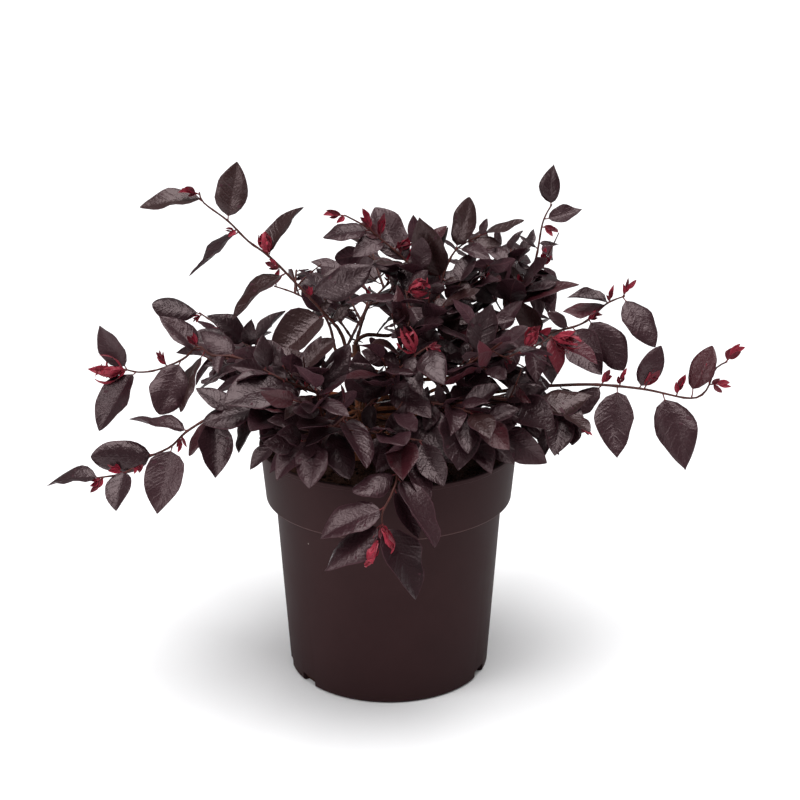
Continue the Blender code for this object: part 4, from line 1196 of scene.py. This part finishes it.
def dress_blade(heap, blade, coats, rng, wave=1.0):
    """A leaf's blade with its fold, ripple, twist and the quilting between its veins."""
    root, direction, face, length, width, droop, fold = blade
    across, part, relief, inner, upper, under, bands = TEMPLATE
    edge = np.abs(across)
    hump = np.sin(math.pi * part)
    run = PETIOLE + (1 - PETIOLE) * part
    face = Quaternion(direction, rng.uniform(-LEAF_ROLL, LEAF_ROLL)) @ face
    side = direction.cross(face)
    half = half_widths(across, part, width, rng)
    out = across * half
    bow = rng.uniform(-BOW, BOW) * length * hump
    arch = rng.uniform(*EDGE_ARCH) * half * edge ** 3
    lift = (fold + rng.uniform(0.0, EXTRA_FOLD)) * np.abs(out) - arch
    for sign in (-1, 1):
        ripple = np.sin(part * rng.uniform(*RIPPLE_WAVES) + rng.uniform(0, 6)) * edge ** 2 * hump
        lift += np.where(across * sign > 0, ripple, 0) * rng.uniform(*RIPPLE_DEPTH) * length * wave
    lift += relief * QUILTING * half
    twist = rng.uniform(-TWIST, TWIST) * (part - TWIST_CENTRE)
    wide = out * np.cos(twist) - lift * np.sin(twist) + bow
    high = out * np.sin(twist) + lift * np.cos(twist) - droop * length * run ** 2
    high = high + rng.uniform(*SAG) * length * hump ** 2
    beyond = np.maximum(part - TIP_START, 0) / (1 - TIP_START)
    high = high - rng.uniform(0, TIP_HANG) * length * beyond * (1 - part)
    corners = np.array(root) + np.outer(run * length, direction)
    corners = corners + np.outer(wide, side) + np.outer(high, face)
    below = corners[inner] - np.array(face) * BLADE_THICKNESS * length / LEAF_LENGTH
    places = np.stack([0.5 + across / 2, part], axis=1)
    every = np.concatenate([corners, below]).tolist()
    spots = np.concatenate([places, places[inner]]).tolist()
    # Both edge strips of each side take the margin coat, a painted highlight along the blade's edge
    top, bottom, margin, rib = coats
    looks = [(top, margin, top)[band] for band in bands]
    looks += [(bottom, margin, rib)[band] for band in bands]
    heap.add(every, upper + under, looks, spots)


def dress_petiole(heap, line, blade):
    """The short stalk from the nearest point of its twig to the blade."""
    root, direction, face, length, width, droop, fold = blade
    foot = nearest(line, root)
    reach = direction * length * (PETIOLE + PETIOLE_OVERLAP)
    end = root + reach - face * droop * length * PETIOLE ** 2
    middle = foot.lerp(end, 0.5) - face * (end - foot).length * PETIOLE_SAG
    radii = [PETIOLE_RADIUS * share for share in PETIOLE_TAPER]
    corners, faces = tube([foot, middle, end], radii, PETIOLE_SIDES)
    heap.add(corners, faces, STALK)


def dress_limb(heap, points, first, last, rng, knots=TWIG_KNOTS):
    """A stem or twig with a small swelling where each leaf stands, and a fine unevenness."""
    count = max(6, min(LIMB_POINTS, round(line_length(points) / LIMB_STEP)))
    line = smooth(points, count)
    length = line_length(line)
    turn = rng.uniform(0, knots)
    radii = []
    for i, radius in enumerate(taper(first, last, count)):
        place = length * i / (count - 1) + turn
        swell = math.exp(-(((place % knots) - knots / 2) / KNOT_WIDTH) ** 2)
        radii.append(radius * (1 + KNOT_SWELL * swell + rng.uniform(-LIMB_UNEVEN, LIMB_UNEVEN)))
    corners, faces = tube(line, radii, LIMB_SIDES)
    heap.add(corners, faces, WOODY)
    return line


def ribbon(start, out, up, length, width, curl, phase):
    """A strap petal that curls back and ripples: corners and faces of a thin closed strip."""
    corners, faces = [], []
    for i in range(PETAL_ROWS):
        part = i / (PETAL_ROWS - 1)
        turn = curl * part
        middle = start + out * math.sin(turn) / curl * length + up * (1 - math.cos(turn)) / curl * length
        ahead = out * math.cos(turn) + up * math.sin(turn)
        normal = up * math.cos(turn) - out * math.sin(turn)
        side = Quaternion(ahead, PETAL_TWIST * math.sin(phase + 5 * part)) @ ahead.cross(normal)
        normal = side.cross(ahead)
        wide = side * width / 2 * (0.45 + 0.55 * math.sin(math.pi * min(1, 0.2 + part * 0.75)))
        thin = normal * width * PETAL_THICKNESS
        corners += [middle + wide, middle + thin, middle - wide, middle - thin]
    for i in range(PETAL_ROWS - 1):
        for k in range(4):
            a, b = i * 4 + k, i * 4 + (k + 1) % 4
            faces.append((a, b, b + 4, a + 4))
    faces.append((3, 2, 1, 0))
    last = len(corners) - 4
    faces.append((last, last + 1, last + 2, last + 3))
    return corners, faces


def dress_petals(heap, foot, ahead, size, rng):
    """A head of crumpled strap petals, or a closed bud of broad ones where it hangs."""
    side = ahead.orthogonal().normalized()
    bud = ahead.z < HANGING
    for k in range(PETALS):
        turn = Quaternion(ahead, math.tau * k / PETALS + rng.uniform(-0.3, 0.3))
        out = turn @ side
        lean = rng.uniform(*(BUD_LEAN if bud else PETAL_LEAN))
        start = foot + ahead * rng.uniform(0, 1.5) * MM
        along_petal = (ahead * math.cos(lean) + out * math.sin(lean)).normalized()
        back = (out - along_petal * out.dot(along_petal)).normalized()
        length = PETAL_LENGTH * size / FULL_HEAD * rng.uniform(0.65, 1.05)
        width = PETAL_WIDTH * (BUD_PETAL if bud else 1)
        curl = rng.uniform(*BUD_CURL) if bud else rng.choice(PETAL_CURLS)
        corners, faces = ribbon(start, along_petal, back, length, width, curl, rng.uniform(0, 6))
        heap.add(corners, faces, PETAL)


def dress_young(heap, wood, line, row, rng, stalk):
    """A sprig of folded young leaves, or where it is large a head of petals with two leaves."""
    part, angle, size = row
    foot = nearest(line, rooted(line, part))
    ahead = seen_direction(angle, SPRIG_LEAN)
    flower = size > FLOWER_SIZE
    tip = foot + ahead * TUFT_LENGTH * size * SPRIG + UP * rng.uniform(-0.5, 1.5) * MM
    radii = [PETIOLE_RADIUS, PETIOLE_RADIUS, PETIOLE_RADIUS * 0.7]
    sprig, faces = tube([foot, foot.lerp(tip, 0.5), tip], radii, PETIOLE_SIDES)
    wood.add(sprig, faces, STALK)
    count = HEAD_LEAVES if flower else YOUNG_LEAVES
    for k in range(count):
        place = (k + 1) / count
        start = foot.lerp(tip, place * 0.96)
        swing = Quaternion(TO_EYE, (-1) ** k * rng.uniform(*YOUNG_SPREAD) * (1.3 - place))
        swing = swing @ (Quaternion(ALOFT, rng.uniform(-0.5, 0.5)) @ ahead)
        length = TUFT_LENGTH * size * rng.uniform(*YOUNG_SHARE)
        facing = TO_EYE + UP * rng.uniform(0, 1) + ACROSS * rng.uniform(-0.8, 0.8)
        width = length * rng.uniform(*YOUNG_RATIO)
        blade = leaf(start, swing, facing, length, width, rng.uniform(*YOUNG_DROOP), YOUNG_FOLD)
        dress_blade(heap, blade, rng.choice(YOUNG_SIDES), rng, YOUNG_WAVE)
    if flower:
        head = foot + ahead * stalk
        stem, faces = tube([foot, foot.lerp(head, 0.5), head], [PETIOLE_RADIUS] * 3, PETIOLE_SIDES)
        wood.add(stem, faces, STALK)
        dress_petals(heap, head, ahead, size, rng)


def linear(code):
    """An sRGB hex colour as the linear one that Blender reckons with."""
    parts = [int(code[i:i + 2], 16) / 255 for i in (1, 3, 5)]
    return (*[p / 12.92 if p <= 0.04045 else ((p + 0.055) / 1.055) ** 2.4 for p in parts], 1)


def add(tree, kind, inputs, **settings):
    """A node with its settings, its plain values and its links."""
    made = tree.nodes.new("ShaderNode" + kind)
    for name, value in settings.items():
        setattr(made, name, value)
    for name, value in inputs.items():
        if isinstance(value, bpy.types.NodeSocket):
            tree.links.new(value, made.inputs[name])
        else:
            made.inputs[name].default_value = value
    return made


def noise(tree, place, size, detail, **more):
    """A cloudy pattern whose clouds are about this size."""
    return add(tree, "TexNoise", {"Vector": place, "Scale": 1 / size, "Detail": detail, **more}).outputs[0]


def blend(tree, share, first, second):
    """The colour at a share of the way between two, each a hex colour or another node's."""
    ends = [linear(end) if isinstance(end, str) else end for end in (first, second)]
    return add(tree, "Mix", {0: share, 6: ends[0], 7: ends[1]}, data_type="RGBA").outputs[2]


def reckon(tree, operation, *values):
    """The result of one operation on sockets or plain numbers."""
    return add(tree, "Math", dict(enumerate(values)), operation=operation).outputs[0]


def remap(tree, value, source, target):
    """A value carried from one range to another, and held within it."""
    return add(tree, "MapRange", dict(enumerate((value, *source, *target)))).outputs[0]


def press(tree, shader, height, strength, depth):
    """Gives a shader the relief of this height."""
    bump = add(tree, "Bump", {"Height": height, "Strength": strength, "Distance": depth})
    tree.links.new(bump.outputs[0], shader.inputs["Normal"])


def coat(name, colour, roughness, specular=0.5, sheen=0.0):
    """A material with its plain values set on the shader, and its tree and shader to add to."""
    made = bpy.data.materials.new(name)
    made.use_nodes = True
    tree = made.node_tree
    shader = tree.nodes["Principled BSDF"]
    shader.inputs["Base Color"].default_value = linear(colour)
    shader.inputs["Roughness"].default_value = roughness
    shader.inputs["Specular IOR Level"].default_value = specular
    shader.inputs["Specular Tint"].default_value = linear(WAX_TINT)
    shader.inputs["Sheen Weight"].default_value = sheen
    made.diffuse_color = linear(colour)
    return made, tree, shader


def moulded_plastic():
    """Dark recycled polypropylene, injection moulded: satin, faintly clouded, with pale dust flecks
    and a painted highlight along the lower edge of the collar."""
    made, tree, shader = coat("moulded polypropylene, dark brown", "#301f20", 0.55, 0.06)
    place = add(tree, "TexCoord", {}).outputs["Object"]
    cloud = noise(tree, place, PLASTIC_CLOUD, 4.0)
    base = blend(tree, cloud, "#2c1c1d", "#362425")
    spots = add(tree, "TexVoronoi", {"Vector": place, "Scale": 1 / FLECK_GAP, "Randomness": 1.0})
    near = remap(tree, spots.outputs["Distance"], FLECK_EDGE, (1.0, 0.0))
    drawn = add(tree, "SeparateColor", {0: spots.outputs["Color"]}).outputs[0]
    fleck = reckon(tree, "MULTIPLY", near, reckon(tree, "GREATER_THAN", drawn, UNFLECKED))
    flecked = blend(tree, fleck, base, "#8d807a")
    # Painted highlight: a lighter band along the collar's lower edge, where its rounded corner catches the
    # light
    height = add(tree, "SeparateXYZ", {0: place}).outputs[2]
    above = reckon(tree, "SUBTRACT", height, POT_HEIGHT - COLLAR_HEIGHT + 0.3 * MM)
    painted_highlight = remap(tree, reckon(tree, "ABSOLUTE", above), COLLAR_HIGHLIGHT_BAND, (0.75, 0.0))
    highlighted = blend(tree, painted_highlight, flecked, "#5a4443")
    tree.links.new(highlighted, shader.inputs["Base Color"])
    gloss = remap(tree, cloud, (0.0, 1.0), (0.5, 0.66))
    tree.links.new(gloss, shader.inputs["Roughness"])
    press(tree, shader, noise(tree, place, PLASTIC_GRAIN, 2.0), 0.12, 0.2 * MM)
    return made


def moist_peat():
    """Milled peat, tamped by hand: a dull, crumbly near-black brown with paler fibres."""
    made, tree, shader = coat("milled peat", "#2a1712", 0.95, 0.2)
    place = add(tree, "TexCoord", {}).outputs["Object"]
    crumb = noise(tree, place, PEAT_CRUMB, 8.0, Roughness=0.7)
    cells = add(tree, "TexVoronoi", {"Vector": place, "Scale": 1 / PEAT_CELL})
    shade = blend(tree, crumb, "#140a08", "#452a1e")
    tree.links.new(shade, shader.inputs["Base Color"])
    rise = reckon(tree, "ADD", crumb, cells.outputs["Distance"])
    press(tree, shader, rise, 0.8, 1.2 * MM)
    return made


def bark(name, dark, light, roughness, grain, young=None):
    """Bark of this age: streaks along the limb, paler where it flakes, and darker on young wood above."""
    made, tree, shader = coat(name, dark, roughness, 0.4)
    place = add(tree, "TexCoord", {}).outputs["Object"]
    drawn = add(tree, "Mapping", {"Vector": place, "Scale": (1, 1, 0.35)}).outputs[0]
    streak = noise(tree, drawn, grain, 6.0, Roughness=0.65)
    shade = blend(tree, remap(tree, streak, (0.3, 0.7), (0.0, 1.0)), dark, light)
    if young:
        height = add(tree, "SeparateXYZ", {0: place}).outputs[2]
        shade = blend(tree, remap(tree, height, YOUNG_WOOD, (0.0, 0.85)), shade, young)
    tree.links.new(shade, shader.inputs["Base Color"])
    press(tree, shader, streak, 0.6, 0.4 * MM)
    return made


def leaf_side(name, colour, roughness, specular, veins):
    """One side of a leaf: its plain colour, faintly mottled, with veins pressed in or standing out."""
    made, tree, shader = coat(name, colour, roughness, specular)
    place = add(tree, "TexCoord", {}).outputs["Object"]
    cloud = noise(tree, place, LEAF_CLOUD, 3.0)
    low = [channel * (1 - LEAF_MOTTLE) for channel in linear(colour)[:3]] + [1]
    high = [channel * (1 + LEAF_MOTTLE) for channel in linear(colour)[:3]] + [1]
    tree.links.new(blend(tree, cloud, low, high), shader.inputs["Base Color"])
    spot = add(tree, "SeparateXYZ", {0: add(tree, "UVMap", {}, uv_map="blade").outputs[0]})
    edge = reckon(tree, "ABSOLUTE", remap(tree, spot.outputs[0], (0.0, 1.0), (-1.0, 1.0)))
    stray = remap(tree, cloud, (0.0, 1.0), (-0.05, 0.05))
    along_blade = reckon(tree, "ADD", spot.outputs[1], stray)
    slant = reckon(tree, "MULTIPLY_ADD", edge, VEIN_LEAN, along_blade)
    wave = reckon(tree, "COSINE", reckon(tree, "MULTIPLY", slant, VEIN_PAIRS * math.tau))
    vein = remap(tree, wave, (0.6, 1.0), (0.0, 1.0))
    midrib = remap(tree, edge, (0.0, MIDRIB_WIDTH), (1.0, 0.0))
    ribs = reckon(tree, "MAXIMUM", vein, midrib)
    rise = reckon(tree, "MULTIPLY_ADD", ribs, veins, noise(tree, place, LEAF_GRAIN, 4.0))
    relief = reckon(tree, "MULTIPLY_ADD", noise(tree, place, PUCKER, 2.0), 1.5, rise)
    press(tree, shader, relief, 0.45, 0.8 * MM)
    return made


def petal_coat():
    """A strap petal: thin, crimson, soft and a little shiny along its creases."""
    made, tree, shader = coat("crimson petal", "#8c1c2e", 0.45, 0.45, 0.1)
    place = add(tree, "TexCoord", {}).outputs["Object"]
    tint = blend(tree, noise(tree, place, PETAL_CLOUD, 2.0), "#6e1322", "#a42b40")
    tree.links.new(tint, shader.inputs["Base Color"])
    return made


def plaster_floor():
    """A pale matt floor: painted plaster, close to white."""
    made, tree, shader = coat("pale matt paint", "#f3f3f4", 0.9, 0.1)
    place = add(tree, "TexCoord", {}).outputs["Object"]
    tint = blend(tree, noise(tree, place, 0.5, 2.0), "#f9f9fa", "#fcfcfd")
    tree.links.new(tint, shader.inputs["Base Color"])
    return made


def in_edit(obj):
    """Enters edit mode on one object and returns its editable mesh."""
    pick(obj)
    bpy.ops.object.mode_set(mode="EDIT")
    return bmesh.from_edit_mesh(obj.data)


def face_outward():
    """Turns the faces of the mesh in edit mode outward and leaves edit mode."""
    bpy.ops.mesh.select_all(action="SELECT")
    bpy.ops.mesh.normals_make_consistent(inside=False)
    bpy.ops.object.mode_set(mode="OBJECT")


def lathe(name, profile, rounded, steps, look):
    """A profile drawn as a chain of corners, some of them rounded, and spun round the pot's axis."""
    bpy.ops.object.select_all(action="DESELECT")
    radius, height = profile[0]
    bpy.ops.mesh.primitive_plane_add(size=1 * MM, location=(radius, 0, height))
    obj = bpy.context.object
    obj.name = name
    bpy.ops.object.transform_apply(location=True)
    bpy.ops.object.mode_set(mode="EDIT")
    bpy.ops.mesh.select_all(action="SELECT")
    bpy.ops.mesh.merge(type="CENTER")
    for (r0, z0), (r1, z1) in zip(profile, profile[1:]):
        bpy.ops.mesh.extrude_vertices_move(TRANSFORM_OT_translate={"value": (r1 - r0, 0, z1 - z0)})
    for place, size in rounded:
        work = bmesh.from_edit_mesh(obj.data)
        for corner in work.verts:
            corner.select = (corner.co - Vector((place[0], 0, place[1]))).length < 1e-6
        work.select_flush_mode()
        bmesh.update_edit_mesh(obj.data)
        bpy.ops.mesh.bevel(offset=size, segments=4, affect="VERTICES")
    bpy.ops.mesh.select_all(action="SELECT")
    bpy.ops.mesh.spin(steps=steps, angle=math.tau, center=(0, 0, 0), axis=(0, 0, 1))
    bpy.ops.mesh.select_all(action="SELECT")
    bpy.ops.mesh.remove_doubles(threshold=1e-6)
    face_outward()
    obj.data.materials.append(look)
    return obj


def finish_modifiers(obj):
    pick(obj)
    for modifier in list(obj.modifiers):
        bpy.ops.object.modifier_apply(modifier=modifier.name)


def displace(obj, label, size, depth, **settings):
    """Adds a relief of lumps of this size and depth to an object."""
    lumps = bpy.data.textures.new(label, "CLOUDS")
    lumps.noise_scale = size
    relief = obj.modifiers.new(label, "DISPLACE")
    relief.texture = lumps
    relief.texture_coords = "LOCAL"
    relief.strength = depth
    for name, value in settings.items():
        setattr(relief, name, value)


def cut_notch(pot, angle):
    """Cuts one drain notch, rounded above, from the pot's foot."""
    out = Matrix.Rotation(math.radians(angle), 4, "Z")
    bpy.ops.object.select_all(action="DESELECT")
    bpy.ops.mesh.primitive_cube_add(size=1, location=out @ Vector((BASE_RADIUS, 0, 0)))
    notch = bpy.context.object
    notch.scale = (NOTCH_DEPTH, NOTCH_WIDTH, NOTCH_HEIGHT * 2)
    notch.rotation_euler = (0, 0, math.radians(angle))
    bpy.ops.object.transform_apply(location=True, rotation=True, scale=True)
    work = in_edit(notch)
    for edge in work.edges:
        a, b = edge.verts
        edge.select = min(a.co.z, b.co.z) > 0
    bmesh.update_edit_mesh(notch.data)
    bpy.ops.mesh.bevel(offset=1.2 * MM, segments=3)
    bpy.ops.object.mode_set(mode="OBJECT")
    cut = pot.modifiers.new("Notch", "BOOLEAN")
    cut.object = notch
    cut.operation = "DIFFERENCE"
    finish_modifiers(pot)
    bpy.data.objects.remove(notch)


def make_pot(plastic):
    """The pot turned in one, with its drain notches cut from the foot."""
    shoulder = POT_HEIGHT - COLLAR_HEIGHT
    outside = [
        (RIM_RADIUS - 0.4 * MM, POT_HEIGHT), (RIM_RADIUS, POT_HEIGHT - 0.5 * MM),
        (RIM_RADIUS - 0.1 * MM, POT_HEIGHT - LIP), (RIM_RADIUS - 0.9 * MM, POT_HEIGHT - LIP - 0.8 * MM),
        (COLLAR_RADIUS, shoulder), (BODY_TOP_RADIUS, shoulder - 0.2 * MM),
        (BASE_RADIUS + 0.1 * MM, 0.9 * MM), (BASE_RADIUS - 2.2 * MM, 0), (BASE_RADIUS - 9 * MM, 0),
        (BASE_RADIUS - 11 * MM, 0.9 * MM), (0, 0.9 * MM),
    ]
    rounded = [
        ((COLLAR_RADIUS, shoulder), 1.1 * MM), ((BODY_TOP_RADIUS, shoulder - 0.2 * MM), 0.9 * MM),
        ((BASE_RADIUS + 0.1 * MM, 0.9 * MM), 1.2 * MM),
    ]
    pot = lathe("pot_body", pot_inside() + outside, rounded, POT_STEPS, plastic)
    for angle in NOTCH_ANGLES:
        cut_notch(pot, angle)
    soften(pot, POT_CREASE)
    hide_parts("pot")
    return pot


def make_peat(peat):
    """The peat turned to the pot's inside, with a heaped and crumbly face."""
    floor = FLOOR + GAP
    shoulder = POT_HEIGHT - COLLAR_HEIGHT
    crown = SOIL_TOP - PEAT_CROWN
    wall = inside_radius(crown) - 0.8 * MM
    shares = [i / PEAT_RINGS for i in range(PEAT_RINGS + 1)]
    profile = [(wall * share, SOIL_TOP - PEAT_CROWN * share ** 4) for share in shares]
    profile += [
        (inside_radius(shoulder + 2.4 * MM) - 0.5 * MM, shoulder + 2.4 * MM),
        (inside_radius(shoulder - 1.4 * MM) - 0.5 * MM, shoulder - 1.4 * MM),
        (BASE_RADIUS - WALL - 0.6 * MM, floor), (0, floor),
    ]
    soil = lathe("peat", profile, [], PEAT_STEPS, peat)
    face = soil.vertex_groups.new(name="face")
    for corner in soil.data.vertices:
        if corner.co.z > crown - 0.1 * MM and math.hypot(corner.co.x, corner.co.y) < wall - 0.2 * MM:
            face.add([corner.index], 1.0, "REPLACE")
    for size, depth in PEAT_LUMPS:
        displace(soil, "peat lumps", size, depth, direction="Z", vertex_group="face", mid_level=0.6)
    finish_modifiers(soil)
    soften(soil, PEAT_CREASE)
    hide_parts("soil")
    return soil


def make_crumbs(peat):
    """Crumbs, bark bits and fibres that lie on the peat."""
    rng = random.Random(SEED)
    heap = Heap()
    faces = [(0, 1, 4), (1, 2, 4), (2, 3, 4), (3, 0, 4), (1, 0, 5), (2, 1, 5), (3, 2, 5), (0, 3, 5)]
    for k in range(CRUMBS):
        reach = (inside_radius(SOIL_TOP) - 4 * MM) * math.sqrt(rng.random())
        turn = rng.uniform(0, math.tau)
        size = rng.uniform(*CRUMB_SIZE)
        stretch = rng.choice((1.0, 1.2, 1.6, 3.6 if size < 1.2 * MM else 1.4))
        spin = Matrix.Rotation(rng.uniform(0, math.tau), 3, "Z")
        spin = spin @ Matrix.Rotation(rng.uniform(-0.5, 0.5), 3, "X")
        middle = Vector((reach * math.cos(turn), reach * math.sin(turn), SOIL_TOP + size * 0.12))
        corners = []
        for x, y, z in ((1, 0, 0), (0, 1, 0), (-1, 0, 0), (0, -1, 0), (0, 0, 1), (0, 0, -1)):
            jog = Vector([rng.uniform(-0.25, 0.25) for _ in range(3)])
            corner = Vector((x * stretch, y / math.sqrt(stretch), z * 0.7)) + jog
            corners.append(middle + spin @ corner * size)
        heap.add(corners, faces, 0)
    return heap.piece("peat_crumbs", [peat])


def make_trunk(wood):
    """The trunk drawn up ring by ring from its cut, lobed at its foot, with its bark's relief."""
    heights = [TRUNK_LENGTH * (i / TRUNK_RINGS) ** 1.25 for i in range(TRUNK_RINGS + 1)]
    bpy.ops.object.select_all(action="DESELECT")
    bpy.ops.mesh.primitive_circle_add(
        vertices=TRUNK_SIDES, radius=trunk_radius(0), fill_type="NGON", location=trunk_axis(0)
    )
    trunk = bpy.context.object
    trunk.name = "trunk_bark"
    bpy.ops.object.transform_apply(location=True)
    bpy.ops.object.mode_set(mode="EDIT")
    bpy.ops.mesh.select_all(action="SELECT")
    for low, high in zip(heights, heights[1:]):
        step = trunk_axis(high) - trunk_axis(low)
        bpy.ops.mesh.extrude_region_move(TRANSFORM_OT_translate={"value": step})
        shrink = trunk_radius(high) / trunk_radius(low)
        bpy.ops.transform.resize(value=(shrink, shrink, 1), center_override=trunk_axis(high))
    face_outward()
    for corner in trunk.data.vertices:
        height = corner.co.z - TRUNK_FOOT.z
        middle = trunk_axis(max(height, 0))
        out = Vector((corner.co.x - middle.x, corner.co.y - middle.y, 0))
        turn = math.atan2(out.y, out.x)
        corner.co += out * trunk_lobes(height / MM) * math.cos(ROOT_LOBES * turn)
    trunk.data.materials.append(wood)
    return roughen(trunk, TRUNK_RELIEF)


def roughen(limb, depth):
    """Presses a bark's ridges and flakes into a limb's mesh."""
    for size, share in BARK_RIDGES:
        displace(limb, "bark ridges", size, depth * share)
    finish_modifiers(limb)
    soften(limb, BARK_CREASE)
    return limb


def make_boughs(shoots, wood):
    """All boughs as bevelled curves made one mesh, each running on into its stem."""
    bpy.ops.object.select_all(action="DESELECT")
    bpy.ops.curve.primitive_nurbs_path_add()
    obj = bpy.context.object
    obj.name = "boughs"
    obj.location = (0, 0, 0)
    curve = obj.data
    curve.splines.clear()
    curve.bevel_depth = BOUGH_RADIUS
    curve.bevel_resolution = 3
    curve.use_fill_caps = True
    for shoot in shoots.values():
        line = smooth(shoot["line"], BOUGH_POINTS)
        line[0] = line[0] - (line[1] - line[0]).normalized() * BOUGH_OVERLAP
        spline = curve.splines.new("POLY")
        spline.points.add(len(line) - 1)
        for i, point in enumerate(line):
            spline.points[i].co = (*point, 1)
            spline.points[i].radius = 1 + (STEM_RADIUS / BOUGH_RADIUS - 1) * i / (len(line) - 1)
    pick(obj)
    bpy.ops.object.convert(target="MESH")
    obj = bpy.context.object
    bpy.ops.object.mode_set(mode="EDIT")
    face_outward()
    obj.data.materials.append(wood)
    return roughen(obj, BOUGH_RELIEF)


def softbox(name, place, aim, size, power):
    """A square soft light at a place, turned to the point it lights."""
    data = bpy.data.lights.new(name, "AREA")
    data.shape = "SQUARE"
    data.size = size
    data.energy = power
    light = bpy.data.objects.new(name, data)
    light.location = place
    light.rotation_euler = (Vector(aim) - Vector(place)).to_track_quat("-Z", "Y").to_euler()
    bpy.context.scene.collection.objects.link(light)


def make_studio():
    """The camera at the plant's viewpoint, a pale floor, a soft light and an even sky."""
    scene = bpy.context.scene
    data = bpy.data.cameras.new("camera")
    data.lens = LENS
    data.sensor_width = SENSOR_WIDTH
    camera = bpy.data.objects.new("camera", data)
    camera.location = EYE
    camera.rotation_euler = (math.pi / 2 - EYE_PITCH, 0, 0)
    scene.collection.objects.link(camera)
    scene.camera = camera
    bpy.ops.object.select_all(action="DESELECT")
    bpy.ops.mesh.primitive_plane_add(size=FLOOR_SIZE)
    floor = bpy.context.object
    floor.name = "floor"
    floor.data.materials.append(plaster_floor())
    overhead = bpy.data.lights.new("overhead", "SUN")
    overhead.energy = OVERHEAD_POWER
    overhead.angle = OVERHEAD_SPREAD
    lamp = bpy.data.objects.new("overhead", overhead)
    lamp.rotation_euler = OVERHEAD_TILT
    scene.collection.objects.link(lamp)
    softbox("key", KEY_PLACE, KEY_AIM, KEY_SIZE, KEY_POWER)
    world = bpy.data.worlds.new("even sky")
    world.use_nodes = True
    world.node_tree.nodes["Background"].inputs["Color"].default_value = (1, 1, 1, 1)
    world.node_tree.nodes["Background"].inputs["Strength"].default_value = SKY
    scene.world = world
    scene.view_settings.view_transform = "Standard"


def deal_tints(count, rng):
    """A tint for each leaf of a spray: mostly the spray's own, with odd ones among them."""
    own = rng.choices((0, 1, 2), SPRAY_WEIGHTS)[0]
    tints = []
    for k in range(count):
        kept = rng.random() < OWN_SHARE
        tints.append(own if kept else rng.choices((0, 1, 2, 3), ODD_WEIGHTS)[0])
    return tints


def dress_wood(wood, shoot, rng):
    """The stem and twigs of one shoot as they show, each by the line that it was laid out on."""
    grown = shoot["grown"]
    stem = smooth(shoot["fine_points"], LIMB_POINTS)
    stem[0] = stem[0] - (stem[1] - stem[0]).normalized() * 1.5 * MM
    fine = dress_limb(wood, stem, STEM_RADIUS, STEM_TIP_RADIUS * 0.8, rng, STEM_KNOTS)
    lines = {id(grown["stem"]): fine}
    for twig in grown["twigs"]:
        start = [nearest(fine, twig[0])] + twig[1:]
        lines[id(twig)] = dress_limb(wood, start, TWIG_RADIUS, TWIG_TIP_RADIUS, rng)
    for owner, twig in grown["fine"]:
        start = [nearest(lines[id(owner)], twig[0])] + twig[1:]
        lines[id(twig)] = dress_limb(wood, start, FINE_RADIUS, FINE_TIP_RADIUS, rng)
    return lines


def sides_of(blade, tint, crimson):
    """The coats of a leaf's sides: its tint's, or its own where it is a large young leaf."""
    for young_blade, own in crimson:
        if blade is young_blade:
            return own, CRIMSON, own, CRIMSON
    return LEAF_SIDES[tint]


def dress_plant(shoots):
    """The leaves, one piece for each mass, then all stems and twigs, and all young growth."""
    leaf_coats = [leaf_side(*row) for row in LEAF_COATS]
    young_coats = [leaf_side(*row) for row in YOUNG_COATS] + [petal_coat()]
    twig_coats = [
        bark("young stem, red brown", "#2f1614", "#552a22", 0.5, TWIG_GRAIN),
        bark("leaf stalk, dull crimson", "#4a1a1f", "#6e2a2c", 0.5, STALK_GRAIN),
    ]
    wood, young = Heap(), Heap()
    pieces = []
    for name, shoot in shoots.items():
        rng = random.Random(name + "dress")
        grown = shoot["grown"]
        lines = dress_wood(wood, shoot, rng)
        leaves = Heap()
        for line, blades in grown["sprays"]:
            tints = deal_tints(len(blades), rng)
            for blade, tint in zip(blades, tints):
                dress_blade(leaves, blade, sides_of(blade, tint, grown["crimson"]), rng)
                dress_petiole(wood, lines[id(line)], blade)
        piece = leaves.piece("leaves_" + name, leaf_coats)
        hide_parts(name)
        pieces.append(piece)
        for k, row in enumerate(grown["tufted"]):
            dress_young(young, wood, lines[id(grown["stem"])], row, rng, HEAD_STALKS[k % 2])
    pieces.append(wood.piece("stems_and_twigs", twig_coats))
    pieces.append(young.piece("young_growth", young_coats))
    return pieces


def main():
    make_studio()
    shoots = plan()
    old_wood = bark("fibrous bark, orange brown", "#3d2114", "#8a4d28", 0.72, TRUNK_GRAIN, "#2c1614")
    trunk = make_trunk(old_wood)
    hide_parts("trunk")
    boughs = make_boughs(shoots, old_wood)
    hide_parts(*["bough_" + name for name in shoots])
    peat = moist_peat()
    pieces = [make_pot(moulded_plastic()), make_peat(peat), make_crumbs(peat), trunk, boughs]
    slots = ["pot_plastic", "potting_soil", "potting_soil", "bark", "bark"]
    for piece in dress_plant(shoots):
        pieces.append(piece)
        slots.append("bark" if piece.name == "stems_and_twigs" else "foliage")
    for piece, slot in zip(pieces, slots):
        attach(piece, "root")


main()
